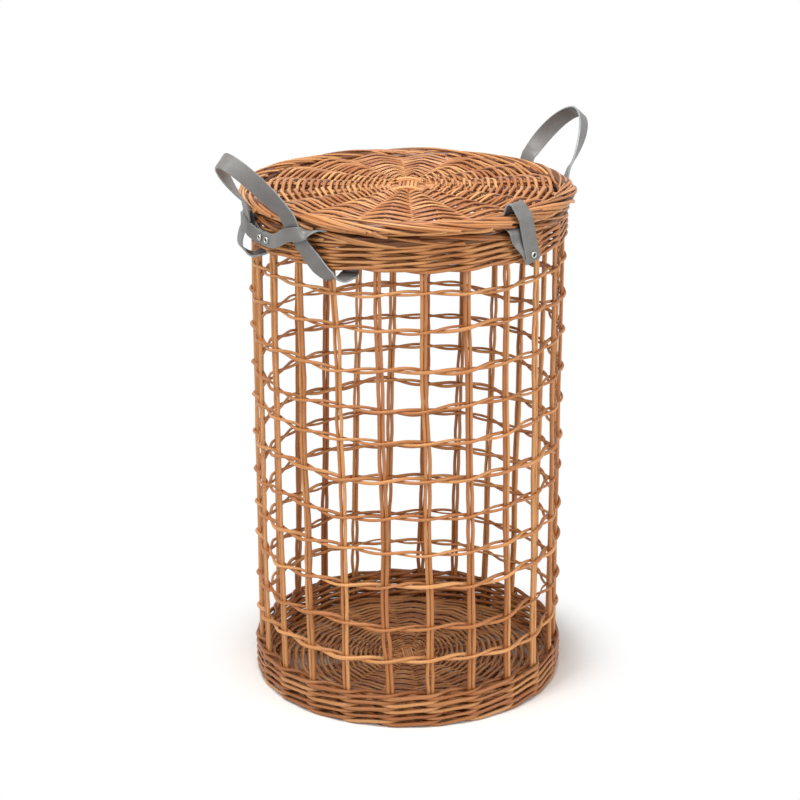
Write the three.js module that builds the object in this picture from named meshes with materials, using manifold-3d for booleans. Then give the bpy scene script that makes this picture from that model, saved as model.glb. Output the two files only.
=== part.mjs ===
// A round willow laundry hamper: an openwork wall of paired stakes held by twined rows, between a woven foot
// band and a woven top band, with a hinged woven lid and straps of grey leather for the handles, hinges,
// keeper and pull tab. Millimetres and degrees. +Z is up, the floor is z = 0 and the hamper's axis is the
// Z axis. The lid's hinge is at the back (+Y), the pull tab at the front (-Y), and azimuths run
// anticlockwise from +X as seen from above.
import * as THREE from "three";
import { mergeVertices } from "three/addons/utils/BufferGeometryUtils.js";
import Module from "manifold-3d";

const wasm = await Module();
wasm.setup();

// Whole hamper
const overallHeight = 620; // floor to the top of the lid's border
const lidDiameter = 400;
const lidOverhang = 9; // lid's edge outside the woven bands
const clearance = 0.3; // air between pieces that touch
const ringSegments = 48;
const loopSteps = 18; // stations along a handle's loop, a leg and the keeper
const legSteps = 18;
const keeperSteps = 40;

// Willow rods
const rodDiameter = 4.4; // one rod of a stake pair
const rodSpacing = 4.2; // between the middles of a pair's rods, which are pressed together a little
const weaverThickness = 3.3; // one strand of a twined row
const weaverOutside = 0.7; // share of a strand that lies outside the stake circle between two stakes
const bandSkin = 4.5; // woven thickness on each side of the stakes in the bands

// Stakes
const stakeCount = 24;
const firstStakeAzimuth = 3.25;
const stakeLean = 13; // sideways drift of a stake's top against its foot
const stakeCrowding = 3.4; // degrees by which the stakes are drawn towards the back
const crowdingAzimuth = 243.25; // where the stakes stand widest apart
const stakeFootGap = 2; // stake's lower end to the floor

// Foot, base and twined rows
const footBandHeight = 43;
const footTuck = 4.5; // how far the foot's lower edge is drawn in
const footTuckHeight = 14;
const baseThickness = 8; // at the spokes
const baseCrown = 2;
const rowThickness = 6; // height of one twined row
const firstRowRise = 42; // top of the foot band to the middle of the lowest row
const lastRowDrop = 26.5; // middle of the highest row to the underside of the top band
const rowDrift = [0, -2, 4, 3, 3, 2, 5, 0, 0, 5, 0]; // each row's hand-woven wander, lowest row first

// Top band, rim and lid
const topBandHeight = 29.5;
const topBandTaper = 1.5;
const rimBorderHeight = 12;
const rimRounding = 3;
const lidBorderThickness = 14;
const lidBorderSides = 8;
const lidWeaveThickness = 10; // at the spokes
const lidWeaveDrop = 1.5; // middle of the lid's weave below the middle of its border
const lidCrown = 3;
const weaveGapThickness = 3.6; // of a woven disc between two spokes, where its strands lie side by side
const weaveRise = 36; // radius by which the weave has swelled to its full thickness at the spokes
const crossLength = 33; // sticks laid crosswise at the middle of the lid and of the base
const crossWidth = 12;
const crossHeight = 3;
const crossProud = 1;
const crossAzimuth = 63.75; // midway between two of the sixteen spokes that grow out of the sticks
const spokeAzimuth = 7.5;
const segmentsPerSpoke = 3;

// Leather straps
const strapWidth = 20;
const strapThickness = 2.4;
const loopSlack = 0.6; // extra room of a strap's loop round the curved border
const pivotGap = 1; // free leather at a strap's fold

// Rivets
const rivetHeadDiameter = 8;
const rivetHeadHeight = 1.8;
const rivetEdgeHeight = 0.7; // upright edge below the head's dome
const rivetShankDiameter = 4;
const rivetSides = 10;

// Lid hinge
const hingeStrapOffset = 28; // middle of each hinge strap from the hamper's middle plane
const hingePivotReach = 7.5; // fold line outside the bands
const hingePivotRise = 1.6; // fold line above the rim
const hingeLugTurn = -47; // where the lug leaves the loop round the lid's border, from level
const hingeBend = 19; // height over which a hinge strap swings in from its fold to the band
const hingeStrapRise = 2; // lower end of a hinge strap above the band's underside
const hingeRivetRise = 9;

// Pull tab
const tabAzimuth = 277;
const tabDrop = 49.5; // middle of the lid's border to the tab's end
const tabArch = 10; // how far the tab's loop stands up off the border
const tabSkew = 0.26; // sideways drift of the tab for each millimetre that it drops
const tabMeeting = 35; // middle of the lid's border to where the tab's two strands meet
const tabInnerTurn = -70; // where the inner strand leaves the loop round the border, from level
const tabRivetRise = 8;

// Handles: span and rise are of the loop above its fold, and lean is the loop's outward tilt from upright.
// An exit is the gap after that stake where a leg goes in under the top band, and its place across the gap.
// Slack is how far a leg stands off the band, and sway the degrees by which it swings aside on its way down.
const leftHandleSpan = 78;
const leftHandleRise = 96.5;
const rightHandleSpan = 84;
const rightHandleRise = 87;
const handles = [
  {
    name: "handle_left",
    azimuth: 184.2,
    span: leftHandleSpan,
    rise: leftHandleRise,
    lean: 39,
    legs: [
      { name: "back", side: -1, exitStake: 11, exitShare: 0.44, slack: 5, sway: -6.5 },
      { name: "front", side: 1, exitStake: 14, exitShare: 0.59, slack: 0, sway: 0 },
    ],
  },
  {
    name: "handle_right",
    azimuth: -2,
    span: rightHandleSpan,
    rise: rightHandleRise,
    lean: 34,
    legs: [
      { name: "front", side: -1, exitStake: 22, exitShare: 0.5, slack: 0, sway: 0 },
      { name: "back", side: 1, exitStake: 0, exitShare: 0.5, slack: 0, sway: 0 },
    ],
  },
];
const apexTwist = 3; // the strap's tilt at the top of the loop
const legCurl = 1.45; // how late on its way down a leg slants to its exit
const legSag = 10; // how far a leg hangs below the top band
const legBend = 6; // size of the corner where a leg turns in under the band
const legTail = 24; // length of a leg turned up inside the band

// Keeper strap, which holds the left handle's back leg and tucks in under the lid
const keeperWidth = 16;
const keeperRise = 19; // middle of the keeper above the top band's underside, at its rivets
const keeperGripRise = 34; // and where it is folded round the held leg
const keeperGrip = 5.8; // degrees from the held leg to the fold of the keeper
const keeperSlack = 3; // extra room where the keeper passes over a leg
const keeperRivets = [8.5, 13]; // degrees from the held leg
const keeperLap = 16.5; // degrees from the held leg to the end of the lap
const keeperCrossing = 17; // the keeper's climb from its rivets to where it passes the front leg
const keeperTuck = 9; // degrees past the front leg to where the keeper lies flat on the rim
const keeperTail = 5; // degrees of keeper lying flat on the rim

// Sizes that follow from the ones above
const degrees = Math.PI / 180;
const lidRadius = lidDiameter / 2;
const rodRadius = rodDiameter / 2;
const bandOuterRadius = lidRadius - lidOverhang;
const stakeRadius = bandOuterRadius - bandSkin - clearance - rodRadius; // middles of the stake pairs
const bandInnerRadius = stakeRadius - rodRadius - clearance - bandSkin;
const lidGap = strapThickness + 2 * clearance + loopSlack;
const rimTop = overallHeight - lidBorderThickness - lidGap;
const topBandTop = rimTop - rimBorderHeight - clearance;
const topBandBottom = topBandTop - topBandHeight;
const stakeTop = topBandTop - clearance;
const stakeMiddle = (stakeFootGap + stakeTop) / 2;
const borderRadius = lidBorderThickness / 2;
const borderRingRadius = lidRadius - borderRadius;
const borderHeight = overallHeight - borderRadius;
const lidWeaveRadius = lidRadius - lidBorderThickness - clearance;
const loopRadius = borderRadius + clearance + loopSlack + strapThickness / 2;

const up = new THREE.Vector3(0, 0, 1);
const outwardAt = (azimuth) => new THREE.Vector3(Math.cos(azimuth * degrees), Math.sin(azimuth * degrees), 0);
const alongAt = (azimuth) => outwardAt(azimuth + 90);
const polar = (radius, azimuth, z) => outwardAt(azimuth).multiplyScalar(radius).setZ(z);
const smooth = (x) => THREE.MathUtils.smoothstep(x, 0, 1);

// Closed solids: a geometry as a manifold solid, and back again
function solidFrom(geometry) {
  const bare = new THREE.BufferGeometry();
  bare.setAttribute("position", geometry.getAttribute("position"));
  bare.setIndex(geometry.index);
  const merged = mergeVertices(bare, 1e-3);
  const vertProperties = merged.attributes.position.array;
  const triVerts = new Uint32Array(merged.index.array);
  return new wasm.Manifold(new wasm.Mesh({ numProp: 3, vertProperties, triVerts }));
}

function geometryFrom(solid) {
  const { vertProperties, triVerts } = solid.getMesh();
  const geometry = new THREE.BufferGeometry();
  geometry.setAttribute("position", new THREE.BufferAttribute(vertProperties, 3));
  geometry.setIndex(new THREE.BufferAttribute(triVerts, 1));
  geometry.computeVertexNormals();
  return geometry;
}

function cutFrom(geometry, cutters) {
  const cut = cutters.reduce((rest, cutter) => rest.subtract(solidFrom(cutter)), solidFrom(geometry));
  return geometryFrom(cut);
}

function joined(geometries) {
  const [first, ...others] = geometries.map(solidFrom);
  return geometryFrom(others.reduce((whole, other) => whole.add(other), first));
}

// A ring or disc turned round the Z axis. The profile is [radius, height] pairs, anticlockwise.
function turned(profile, segments = ringSegments) {
  const points = profile.map(([radius, height]) => new THREE.Vector2(radius, height));
  return new THREE.LatheGeometry(points, segments).rotateX(Math.PI / 2);
}

function turnedRing(profile) {
  return turned([...profile, profile[0]]);
}

function upright(outline, bottom, top, holes = []) {
  const shape = new THREE.Shape(outline);
  shape.holes = holes.map((hole) => new THREE.Path(hole));
  const slab = new THREE.ExtrudeGeometry(shape, { depth: top - bottom, bevelEnabled: false });
  return slab.translate(0, 0, bottom);
}

function rectangle(halfX, halfY) {
  return [
    new THREE.Vector2(-halfX, -halfY),
    new THREE.Vector2(halfX, -halfY),
    new THREE.Vector2(halfX, halfY),
    new THREE.Vector2(-halfX, halfY),
  ];
}

// A flat strap swept along stations. Each station has a point, the direction across the strap and, at a
// rounded end, the share of the thickness left there.
function strap(stations, width, closed = false) {
  const count = stations.length;
  const positions = [];
  stations.forEach(({ point, across, share = 1 }, i) => {
    const before = closed ? stations[(i + count - 1) % count] : stations[Math.max(i - 1, 0)];
    const after = closed ? stations[(i + 1) % count] : stations[Math.min(i + 1, count - 1)];
    const travel = after.point.clone().sub(before.point).normalize();
    const face = travel.cross(across).normalize();
    for (const [side, layer] of [[-1, -1], [1, -1], [1, 1], [-1, 1]]) {
      const corner = point.clone().addScaledVector(across, (side * width) / 2);
      corner.addScaledVector(face, (layer * share * strapThickness) / 2);
      positions.push(corner.x, corner.y, corner.z);
    }
  });
  const index = [];
  for (let i = 0; i < (closed ? count : count - 1); i++) {
    const here = 4 * i;
    const next = 4 * ((i + 1) % count);
    for (let k = 0; k < 4; k++) {
      const l = (k + 1) % 4;
      index.push(here + k, here + l, next + l, here + k, next + l, next + k);
    }
  }
  if (!closed) {
    const last = 4 * (count - 1);
    index.push(0, 2, 1, 0, 3, 2, last, last + 1, last + 2, last, last + 2, last + 3);
  }
  const geometry = new THREE.BufferGeometry();
  geometry.setAttribute("position", new THREE.Float32BufferAttribute(positions, 3));
  geometry.setIndex(index);
  geometry.computeVertexNormals();
  return geometry;
}

// Stations that round a strap's end about its last point: the end is centred on a fold line.
function roundedEnd({ point, across }, direction) {
  return [40, 75].map((angle) => ({
    point: point.clone().addScaledVector(direction, (strapThickness / 2) * Math.sin(angle * degrees)),
    across,
    share: Math.cos(angle * degrees),
  }));
}

// Stations of a strap whose path lies in the upright plane at an azimuth, from [radius, height] pairs.
function stationsIn(azimuth, pairs) {
  return pairs.map(([radius, z]) => ({ point: polar(radius, azimuth, z), across: alongAt(azimuth) }));
}

// Points of an oval round a border's section, clockwise from its outer side over the bottom.
function ovalPairs(centreRadius, halfWidth, halfHeight, count = 20) {
  return Array.from({ length: count }, (_, i) => {
    const turn = (-2 * Math.PI * i) / count;
    return [centreRadius + halfWidth * Math.cos(turn), borderHeight + halfHeight * Math.sin(turn)];
  });
}

function smoothPairs(pairs, count) {
  const curve = new THREE.SplineCurve(pairs.map(([a, b]) => new THREE.Vector2(a, b)));
  return curve.getSpacedPoints(count).map(({ x, y }) => [x, y]);
}

function pieceOf(geometry, name, finish) {
  const mesh = new THREE.Mesh(geometry, finish());
  mesh.name = name;
  return mesh;
}

const willow = () => new THREE.MeshStandardMaterial({ color: 0xc8874a, roughness: 0.5, metalness: 0 });
const leather = () => new THREE.MeshStandardMaterial({ color: 0x8e8b87, roughness: 0.6, metalness: 0 });
const nickel = () => new THREE.MeshStandardMaterial({ color: 0xc9c7c2, roughness: 0.25, metalness: 1 });
const numbered = (stem, i) => `${stem}_${String(i + 1).padStart(2, "0")}`;

// Stakes: two rods side by side, leaning a little along the wall
function stakeAzimuth(i) {
  const even = firstStakeAzimuth + (360 / stakeCount) * i;
  return even + stakeCrowding * Math.sin((even - crowdingAzimuth) * degrees);
}

function stakeDrift(z) {
  return (-stakeLean * (z - stakeMiddle)) / (stakeTop - stakeFootGap);
}

function stakeAzimuthAt(i, z) {
  return stakeAzimuth(i) + Math.atan2(stakeDrift(z), stakeRadius) / degrees;
}

function gapAzimuth(i, share, z) {
  return THREE.MathUtils.lerp(stakeAzimuthAt(i, z), stakeAzimuthAt(i + 1, z), share);
}

function leaning(outline, bottom, top) {
  const slope = -stakeLean / (stakeTop - stakeFootGap);
  const shear = new THREE.Matrix4().makeShear(0, 0, 0, 0, 0, slope);
  return upright(outline, bottom - stakeMiddle, top - stakeMiddle)
    .applyMatrix4(shear)
    .translate(stakeRadius, 0, stakeMiddle);
}

function rodPairOutline() {
  const angles = [-144, -72, 0, 72, 144];
  return [1, -1].flatMap((side) =>
    angles.map((angle) => {
      const x = rodRadius * Math.sin(angle * degrees);
      const y = rodSpacing / 2 + rodRadius * Math.cos(angle * degrees);
      return new THREE.Vector2(-side * x, side * y);
    }),
  );
}

function makeStakes() {
  const geometry = leaning(rodPairOutline(), stakeFootGap, stakeTop);
  return Array.from({ length: stakeCount }, (_, i) => {
    const stake = pieceOf(geometry, numbered("stake", i), willow);
    stake.rotation.z = stakeAzimuth(i) * degrees;
    return stake;
  });
}

// Slots for the stakes, cut through everything that is woven round them
function stakeSlots() {
  const outline = rectangle(rodRadius + clearance, rodDiameter + clearance);
  const slot = leaning(outline, -clearance, topBandTop + clearance);
  return Array.from({ length: stakeCount }, (_, i) => slot.clone().rotateZ(stakeAzimuth(i) * degrees));
}

// Twined rows: two strands that part round each stake pair and cross between pairs
function makeRows(slots) {
  const lowest = footBandHeight + firstRowRise;
  const highest = topBandBottom - lastRowDrop;
  const bulge = stakeRadius + rodRadius + clearance + weaverThickness;
  const pinch = stakeRadius + weaverOutside * weaverThickness;
  const inside = stakeRadius - rodRadius - clearance - (1 - weaverOutside) * weaverThickness;
  const flat = (radius, azimuth) => {
    const { x, y } = outwardAt(azimuth).multiplyScalar(radius);
    return new THREE.Vector2(x, y);
  };
  return rowDrift.map((drift, row) => {
    const z = THREE.MathUtils.lerp(lowest, highest, row / (rowDrift.length - 1)) + drift;
    const outer = [];
    const inner = [];
    for (let i = 0; i < stakeCount; i++) {
      const between = gapAzimuth(i, 0.5, z);
      outer.push(flat(bulge, stakeAzimuthAt(i, z)), flat(pinch, between));
      inner.push(flat(inside, between));
    }
    const ring = upright(outer, z - rowThickness / 2, z + rowThickness / 2, [inner]);
    return pieceOf(cutFrom(ring, slots), numbered("fitch_row", row), willow);
  });
}

// Bands, base and rim of the basket
function makeBands(slots) {
  const foot = turnedRing([
    [bandInnerRadius, 0],
    [bandOuterRadius - footTuck, 0],
    [bandOuterRadius, footTuckHeight],
    [bandOuterRadius, footBandHeight],
    [bandInnerRadius, footBandHeight],
  ]);
  const top = turnedRing([
    [bandInnerRadius, topBandBottom],
    [bandOuterRadius - topBandTaper, topBandBottom],
    [bandOuterRadius, topBandBottom + topBandHeight / 2],
    [bandOuterRadius, topBandTop],
    [bandInnerRadius, topBandTop],
  ]);
  const rim = turnedRing([
    [bandInnerRadius, rimTop - rimBorderHeight],
    [bandOuterRadius, rimTop - rimBorderHeight],
    [bandOuterRadius, rimTop - rimRounding],
    [bandOuterRadius - rimRounding, rimTop],
    [bandInnerRadius + rimRounding, rimTop],
    [bandInnerRadius, rimTop - rimRounding],
  ]);
  return [
    pieceOf(cutFrom(foot, slots), "foot_band", willow),
    pieceOf(cutFrom(top, slots), "top_band", willow),
    pieceOf(rim, "rim_border", willow),
  ];
}

function crossOutline(grow) {
  const arm = crossLength / 2 + grow;
  const half = crossWidth / 2 + grow;
  const corner = [[half, half], [half, arm], [-half, arm], [-half, half], [-arm, half], [-arm, -half]];
  const points = [...corner, ...corner.map(([x, y]) => [-x, -y])];
  return points.map(([x, y]) => new THREE.Vector2(x, y));
}

// A disc of weave, crowned on its upper side: it swells along the spokes, where the strands go over and
// under them
function ribbedDisc(radius, bottom, thickness, crown) {
  const disc = turned([
    [0, bottom],
    [crossLength / 2 + 2 * clearance, bottom],
    [weaveRise, bottom],
    [radius, bottom],
    [radius, bottom + thickness],
    [weaveRise, bottom + thickness],
    [crossLength / 2 + 2 * clearance, bottom + thickness],
    [0, bottom + thickness],
  ]);
  const middle = bottom + thickness / 2;
  const place = disc.getAttribute("position");
  for (let i = 0; i < place.count; i++) {
    const away = Math.hypot(place.getX(i), place.getY(i));
    const azimuth = Math.atan2(place.getY(i), place.getX(i)) / degrees;
    const segment = Math.round(((azimuth - spokeAzimuth) * ringSegments) / 360);
    const between = away > weaveRise - clearance && segment % segmentsPerSpoke !== 0;
    const half = (between ? weaveGapThickness : thickness) / 2;
    const above = place.getZ(i) > middle;
    const lift = above ? crown * (1 - (away / radius) ** 2) : 0;
    place.setZ(i, middle + (above ? half : -half) + lift);
  }
  return disc;
}

// A woven disc with the sticks of its cross let into the middle of its upper side
function wovenDisc(stem, radius, bottom, thickness, crown, notches) {
  const crossTop = bottom + thickness + crown + crossProud;
  const pocketFloor = crossTop - crossHeight - clearance;
  const disc = ribbedDisc(radius, bottom, thickness, crown);
  const turn = crossAzimuth * degrees;
  const pocket = upright(crossOutline(clearance), pocketFloor, crossTop + clearance).rotateZ(turn);
  const cross = upright(crossOutline(0), crossTop - crossHeight, crossTop).rotateZ(turn);
  return [
    pieceOf(cutFrom(disc, [pocket, ...notches]), `${stem}_weave`, willow),
    pieceOf(cross, `${stem}_cross`, willow),
  ];
}

// Rivets: a domed head with its shank through the leather
function rivetAt(name, point, direction, layers) {
  const shank = rivetShankDiameter / 2;
  const head = rivetHeadDiameter / 2;
  const reach = layers * strapThickness + clearance;
  const bulge = rivetHeadHeight - rivetEdgeHeight;
  const dome = [0, 45, 90].map((angle) => [
    head * Math.cos(angle * degrees),
    rivetEdgeHeight + bulge * Math.sin(angle * degrees),
  ]);
  const profile = [[0, -reach], [shank, -reach], [shank, 0], [head, 0], ...dome];
  const rivet = pieceOf(turned(profile, rivetSides), name, nickel);
  rivet.position.copy(point).addScaledVector(direction, clearance);
  rivet.quaternion.setFromUnitVectors(up, direction);
  return rivet;
}

function rivetHole(point, direction, layers) {
  const radius = rivetShankDiameter / 2 + clearance;
  const depth = 2 * (layers * strapThickness + 2 * clearance);
  const turn = new THREE.Quaternion().setFromUnitVectors(new THREE.Vector3(0, 1, 0), direction);
  return new THREE.CylinderGeometry(radius, radius, depth, rivetSides)
    .applyQuaternion(turn)
    .translate(point.x, point.y, point.z);
}

// Lid hinge: a strap riveted to the band, and a loop round the lid's border that folds on the strap's top
// edge
const hingePivot = { y: bandOuterRadius + hingePivotReach, z: rimTop + hingePivotRise };

function hingeLoopOval() {
  const nearest = hingeStrapOffset - strapWidth / 2;
  const farthest = hingeStrapOffset + strapWidth / 2;
  const backmost = Math.sqrt(borderRingRadius ** 2 - nearest ** 2);
  const foremost = Math.sqrt(borderRingRadius ** 2 - farthest ** 2);
  const slant = borderRingRadius / foremost;
  return {
    centre: (backmost + foremost) / 2,
    halfWidth: loopRadius + (backmost - foremost) / 2 + borderRadius * (slant - 1),
  };
}

function makeHinge(side, x) {
  const oval = hingeLoopOval();
  const turn = hingeLugTurn * degrees;
  const lugReach = oval.centre + oval.halfWidth * Math.cos(turn);
  const lugStart = [lugReach, borderHeight + loopRadius * Math.sin(turn)];
  const pivotPair = [hingePivot.y, hingePivot.z];
  const lug = stationsIn(90, [lugStart, pivotPair]);
  const fall = lug[1].point.clone().sub(lug[0].point).normalize();
  const ring = stationsIn(90, ovalPairs(oval.centre, oval.halfWidth, loopRadius));
  const loop = joined([
    strap(ring, strapWidth, true),
    strap([...lug, ...roundedEnd(lug[1], fall)], strapWidth),
  ]);
  const nearest = hingeStrapOffset - strapWidth / 2;
  const seat = Math.sqrt(bandOuterRadius ** 2 - nearest ** 2) + clearance + strapThickness / 2;
  const strapTop = hingePivot.z - strapThickness / 2 - pivotGap;
  const strapEnd = topBandBottom + hingeStrapRise;
  const bend = [0, 0.2, 0.4, 0.6, 0.8, 1].map((share) => [
    THREE.MathUtils.lerp(hingePivot.y, seat, smooth(share)),
    strapTop - hingeBend * share,
  ]);
  const path = [...bend, [seat, strapEnd]];
  const rivetPoint = new THREE.Vector3(0, seat + strapThickness / 2, topBandBottom + hingeRivetRise);
  const back = new THREE.Vector3(0, 1, 0);
  const pierced = cutFrom(strap(stationsIn(90, path), strapWidth), [rivetHole(rivetPoint, back, 1)]);
  const leaf = pieceOf(pierced, `hinge_strap_${side}`, leather);
  const rivet = rivetAt(`hinge_rivet_${side}`, rivetPoint, back, 1);
  const onLid = pieceOf(loop, `hinge_loop_${side}`, leather);
  for (const piece of [leaf, rivet, onLid]) piece.position.x += x;
  return { leaf, rivet, onLid };
}

// Pull tab: a strap looped round the lid's border, its two ends hanging together outside the band
function tabStations(pairs) {
  const stations = stationsIn(tabAzimuth, pairs);
  for (const { point, across } of stations) point.addScaledVector(across, tabSkew * (borderHeight - point.z));
  return stations;
}

function makePullTab() {
  const outerStrand = borderRingRadius + loopRadius;
  const innerStrand = outerStrand - strapThickness + clearance / 3;
  const end = borderHeight - tabDrop;
  const turn = tabInnerTurn * degrees;
  const ring = ovalPairs(borderRingRadius, loopRadius, loopRadius).map(([radius, z]) => {
    const share = Math.max(z - borderHeight, 0) / loopRadius;
    return [radius, z + tabArch * share ** 2];
  });
  const outer = [[outerStrand, borderHeight], [outerStrand, end]];
  const inner = [
    [borderRingRadius + loopRadius * Math.cos(turn), borderHeight + loopRadius * Math.sin(turn)],
    [innerStrand, borderHeight - tabMeeting],
    [innerStrand, end],
  ];
  const loop = joined([
    strap(tabStations(ring), strapWidth, true),
    strap(tabStations(outer), strapWidth),
    strap(tabStations(inner), strapWidth),
  ]);
  const direction = outwardAt(tabAzimuth);
  const [{ point: rivetPoint }] = tabStations([[outerStrand + strapThickness / 2, end + tabRivetRise]]);
  return [
    pieceOf(cutFrom(loop, [rivetHole(rivetPoint, direction, 2)]), "pull_tab", leather),
    rivetAt("pull_tab_rivet", rivetPoint, direction, 2),
  ];
}

// Openings through the lid's weave, next to its border, for the straps that go round the border
function lidNotches() {
  const inner = borderRingRadius - loopRadius - tabArch - strapThickness / 2 - clearance;
  const oval = hingeLoopOval();
  const hingeInner = oval.centre - oval.halfWidth - strapThickness / 2 - clearance;
  const low = borderHeight - lidBorderThickness;
  const high = overallHeight + lidBorderThickness;
  const half = strapWidth / 2 + clearance;
  const drift = tabSkew * (loopRadius + tabArch + strapThickness / 2);
  const notch = (from, halfWidth) => {
    const outline = rectangle((lidRadius - from) / 2, halfWidth);
    return upright(outline, low, high).translate((lidRadius + from) / 2, 0, 0);
  };
  return [
    notch(inner, half + drift).rotateZ(tabAzimuth * degrees),
    notch(hingeInner, half).rotateZ(Math.PI / 2).translate(-hingeStrapOffset, 0, 0),
    notch(hingeInner, half).rotateZ(Math.PI / 2).translate(hingeStrapOffset, 0, 0),
  ];
}

// Handles: a loop that swings on a fold beside the lid's border, and two legs that go in under the top band
function handleFrame({ azimuth, span }) {
  const nearEdge = (span - strapWidth) / 2;
  const reach = Math.sqrt(lidRadius ** 2 - nearEdge ** 2) + strapThickness / 2 + 2 * clearance;
  const pivot = polar(reach, azimuth, borderHeight);
  return { outward: outwardAt(azimuth), along: alongAt(azimuth), reach, pivot };
}

function makeHandleLoop(handle) {
  const { outward, along, pivot } = handleFrame(handle);
  const lean = handle.lean * degrees;
  const rising = outward.clone().multiplyScalar(Math.sin(lean)).addScaledVector(up, Math.cos(lean));
  const facing = outward.clone().multiplyScalar(Math.cos(lean)).addScaledVector(up, -Math.sin(lean));
  const stations = Array.from({ length: loopSteps + 1 }, (_, i) => {
    const turn = (Math.PI * i) / loopSteps;
    const y = (-handle.span / 2) * Math.cos(turn);
    const rise = handle.rise * Math.sin(turn);
    const travel = new THREE.Vector2((handle.span / 2) * Math.sin(turn), handle.rise * Math.cos(turn));
    travel.normalize();
    const tilt = THREE.MathUtils.lerp(-90, -apexTwist, Math.sin(turn)) * degrees;
    const across = facing.clone().multiplyScalar(Math.cos(tilt));
    across.addScaledVector(along, -travel.y * Math.sin(tilt));
    across.addScaledVector(rising, travel.x * Math.sin(tilt));
    return { point: pivot.clone().addScaledVector(along, y).addScaledVector(rising, rise), across };
  });
  const down = rising.clone().negate();
  const start = roundedEnd(stations[0], down).reverse();
  const end = roundedEnd(stations[loopSteps], down);
  return pieceOf(strap([...start, ...stations, ...end], strapWidth), handle.name, leather);
}

// A leg's way in [radius, height] pairs: down outside the band, in under it and up behind it
const legOutside = bandOuterRadius + 3 * clearance + 1.5 * strapThickness;
const bandFace = bandInnerRadius * Math.cos(Math.PI / ringSegments) - clearance;
const legInside = Math.sqrt(bandFace ** 2 - (strapWidth / 2) ** 2) - strapThickness / 2;

function legPairs({ reach }, span, slack) {
  const top = borderHeight - strapThickness / 2 - pivotGap;
  const radius = Math.hypot(reach, span / 2);
  const under = topBandBottom - legSag;
  return [
    [radius, top],
    [radius, top - legBend],
    [legOutside + strapThickness / 2 + slack, topBandBottom + topBandHeight / 2],
    [legOutside + slack, topBandBottom],
    [legOutside - legBend + slack / 2, under],
    [stakeRadius, under],
    [legInside + legBend / 2, under],
    [legInside, topBandBottom - clearance],
    [legInside, topBandBottom + legTail],
  ];
}

// Stations of a leg: it leaves the fold upright and slants along the wall to its exit as it goes down
function legStations(handle, leg, steps) {
  const frame = handleFrame(handle);
  const pairs = legPairs(frame, handle.span, leg.slack);
  const path = smoothPairs(pairs, steps);
  const exitPlace = path.findIndex(([radius]) => radius < stakeRadius);
  const from = handle.azimuth + (leg.side * Math.atan2(handle.span / 2, frame.reach)) / degrees;
  const to = gapAzimuth(leg.exitStake, leg.exitShare, topBandBottom - legSag);
  const sweep = THREE.MathUtils.euclideanModulo(to - from + 180, 360) - 180;
  const places = path.map(([radius, z], i) => {
    const share = Math.min(i / exitPlace, 1);
    const azimuth = from + sweep * share ** legCurl + leg.sway * Math.sin(Math.PI * share);
    return { radius, z, azimuth, point: polar(radius, azimuth, z) };
  });
  return places.map((place, i) => {
    const before = places[Math.max(i - 1, 0)];
    const after = places[Math.min(i + 1, steps)];
    const facing = outwardAt(place.azimuth).multiplyScalar(before.z - after.z);
    facing.addScaledVector(up, after.radius - before.radius).normalize();
    facing.lerp(frame.outward, 1 - smooth((6 * i) / steps));
    const travel = after.point.clone().sub(before.point);
    const across = facing.cross(travel).normalize();
    return { ...place, across: i === 0 ? frame.along.clone() : across };
  });
}

function makeHandleLegs(handle) {
  return handle.legs.map((leg) => {
    const stations = legStations(handle, leg, legSteps);
    return pieceOf(strap(stations, strapWidth), `${handle.name}_leg_${leg.name}`, leather);
  });
}

// Keeper: folded round the left handle's back leg and riveted to itself, then led past the front leg and
// tucked in on the rim
function legPlaceAt(handle, leg, z) {
  return legStations(handle, leg, 3 * legSteps).find((station) => station.z < z);
}

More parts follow.
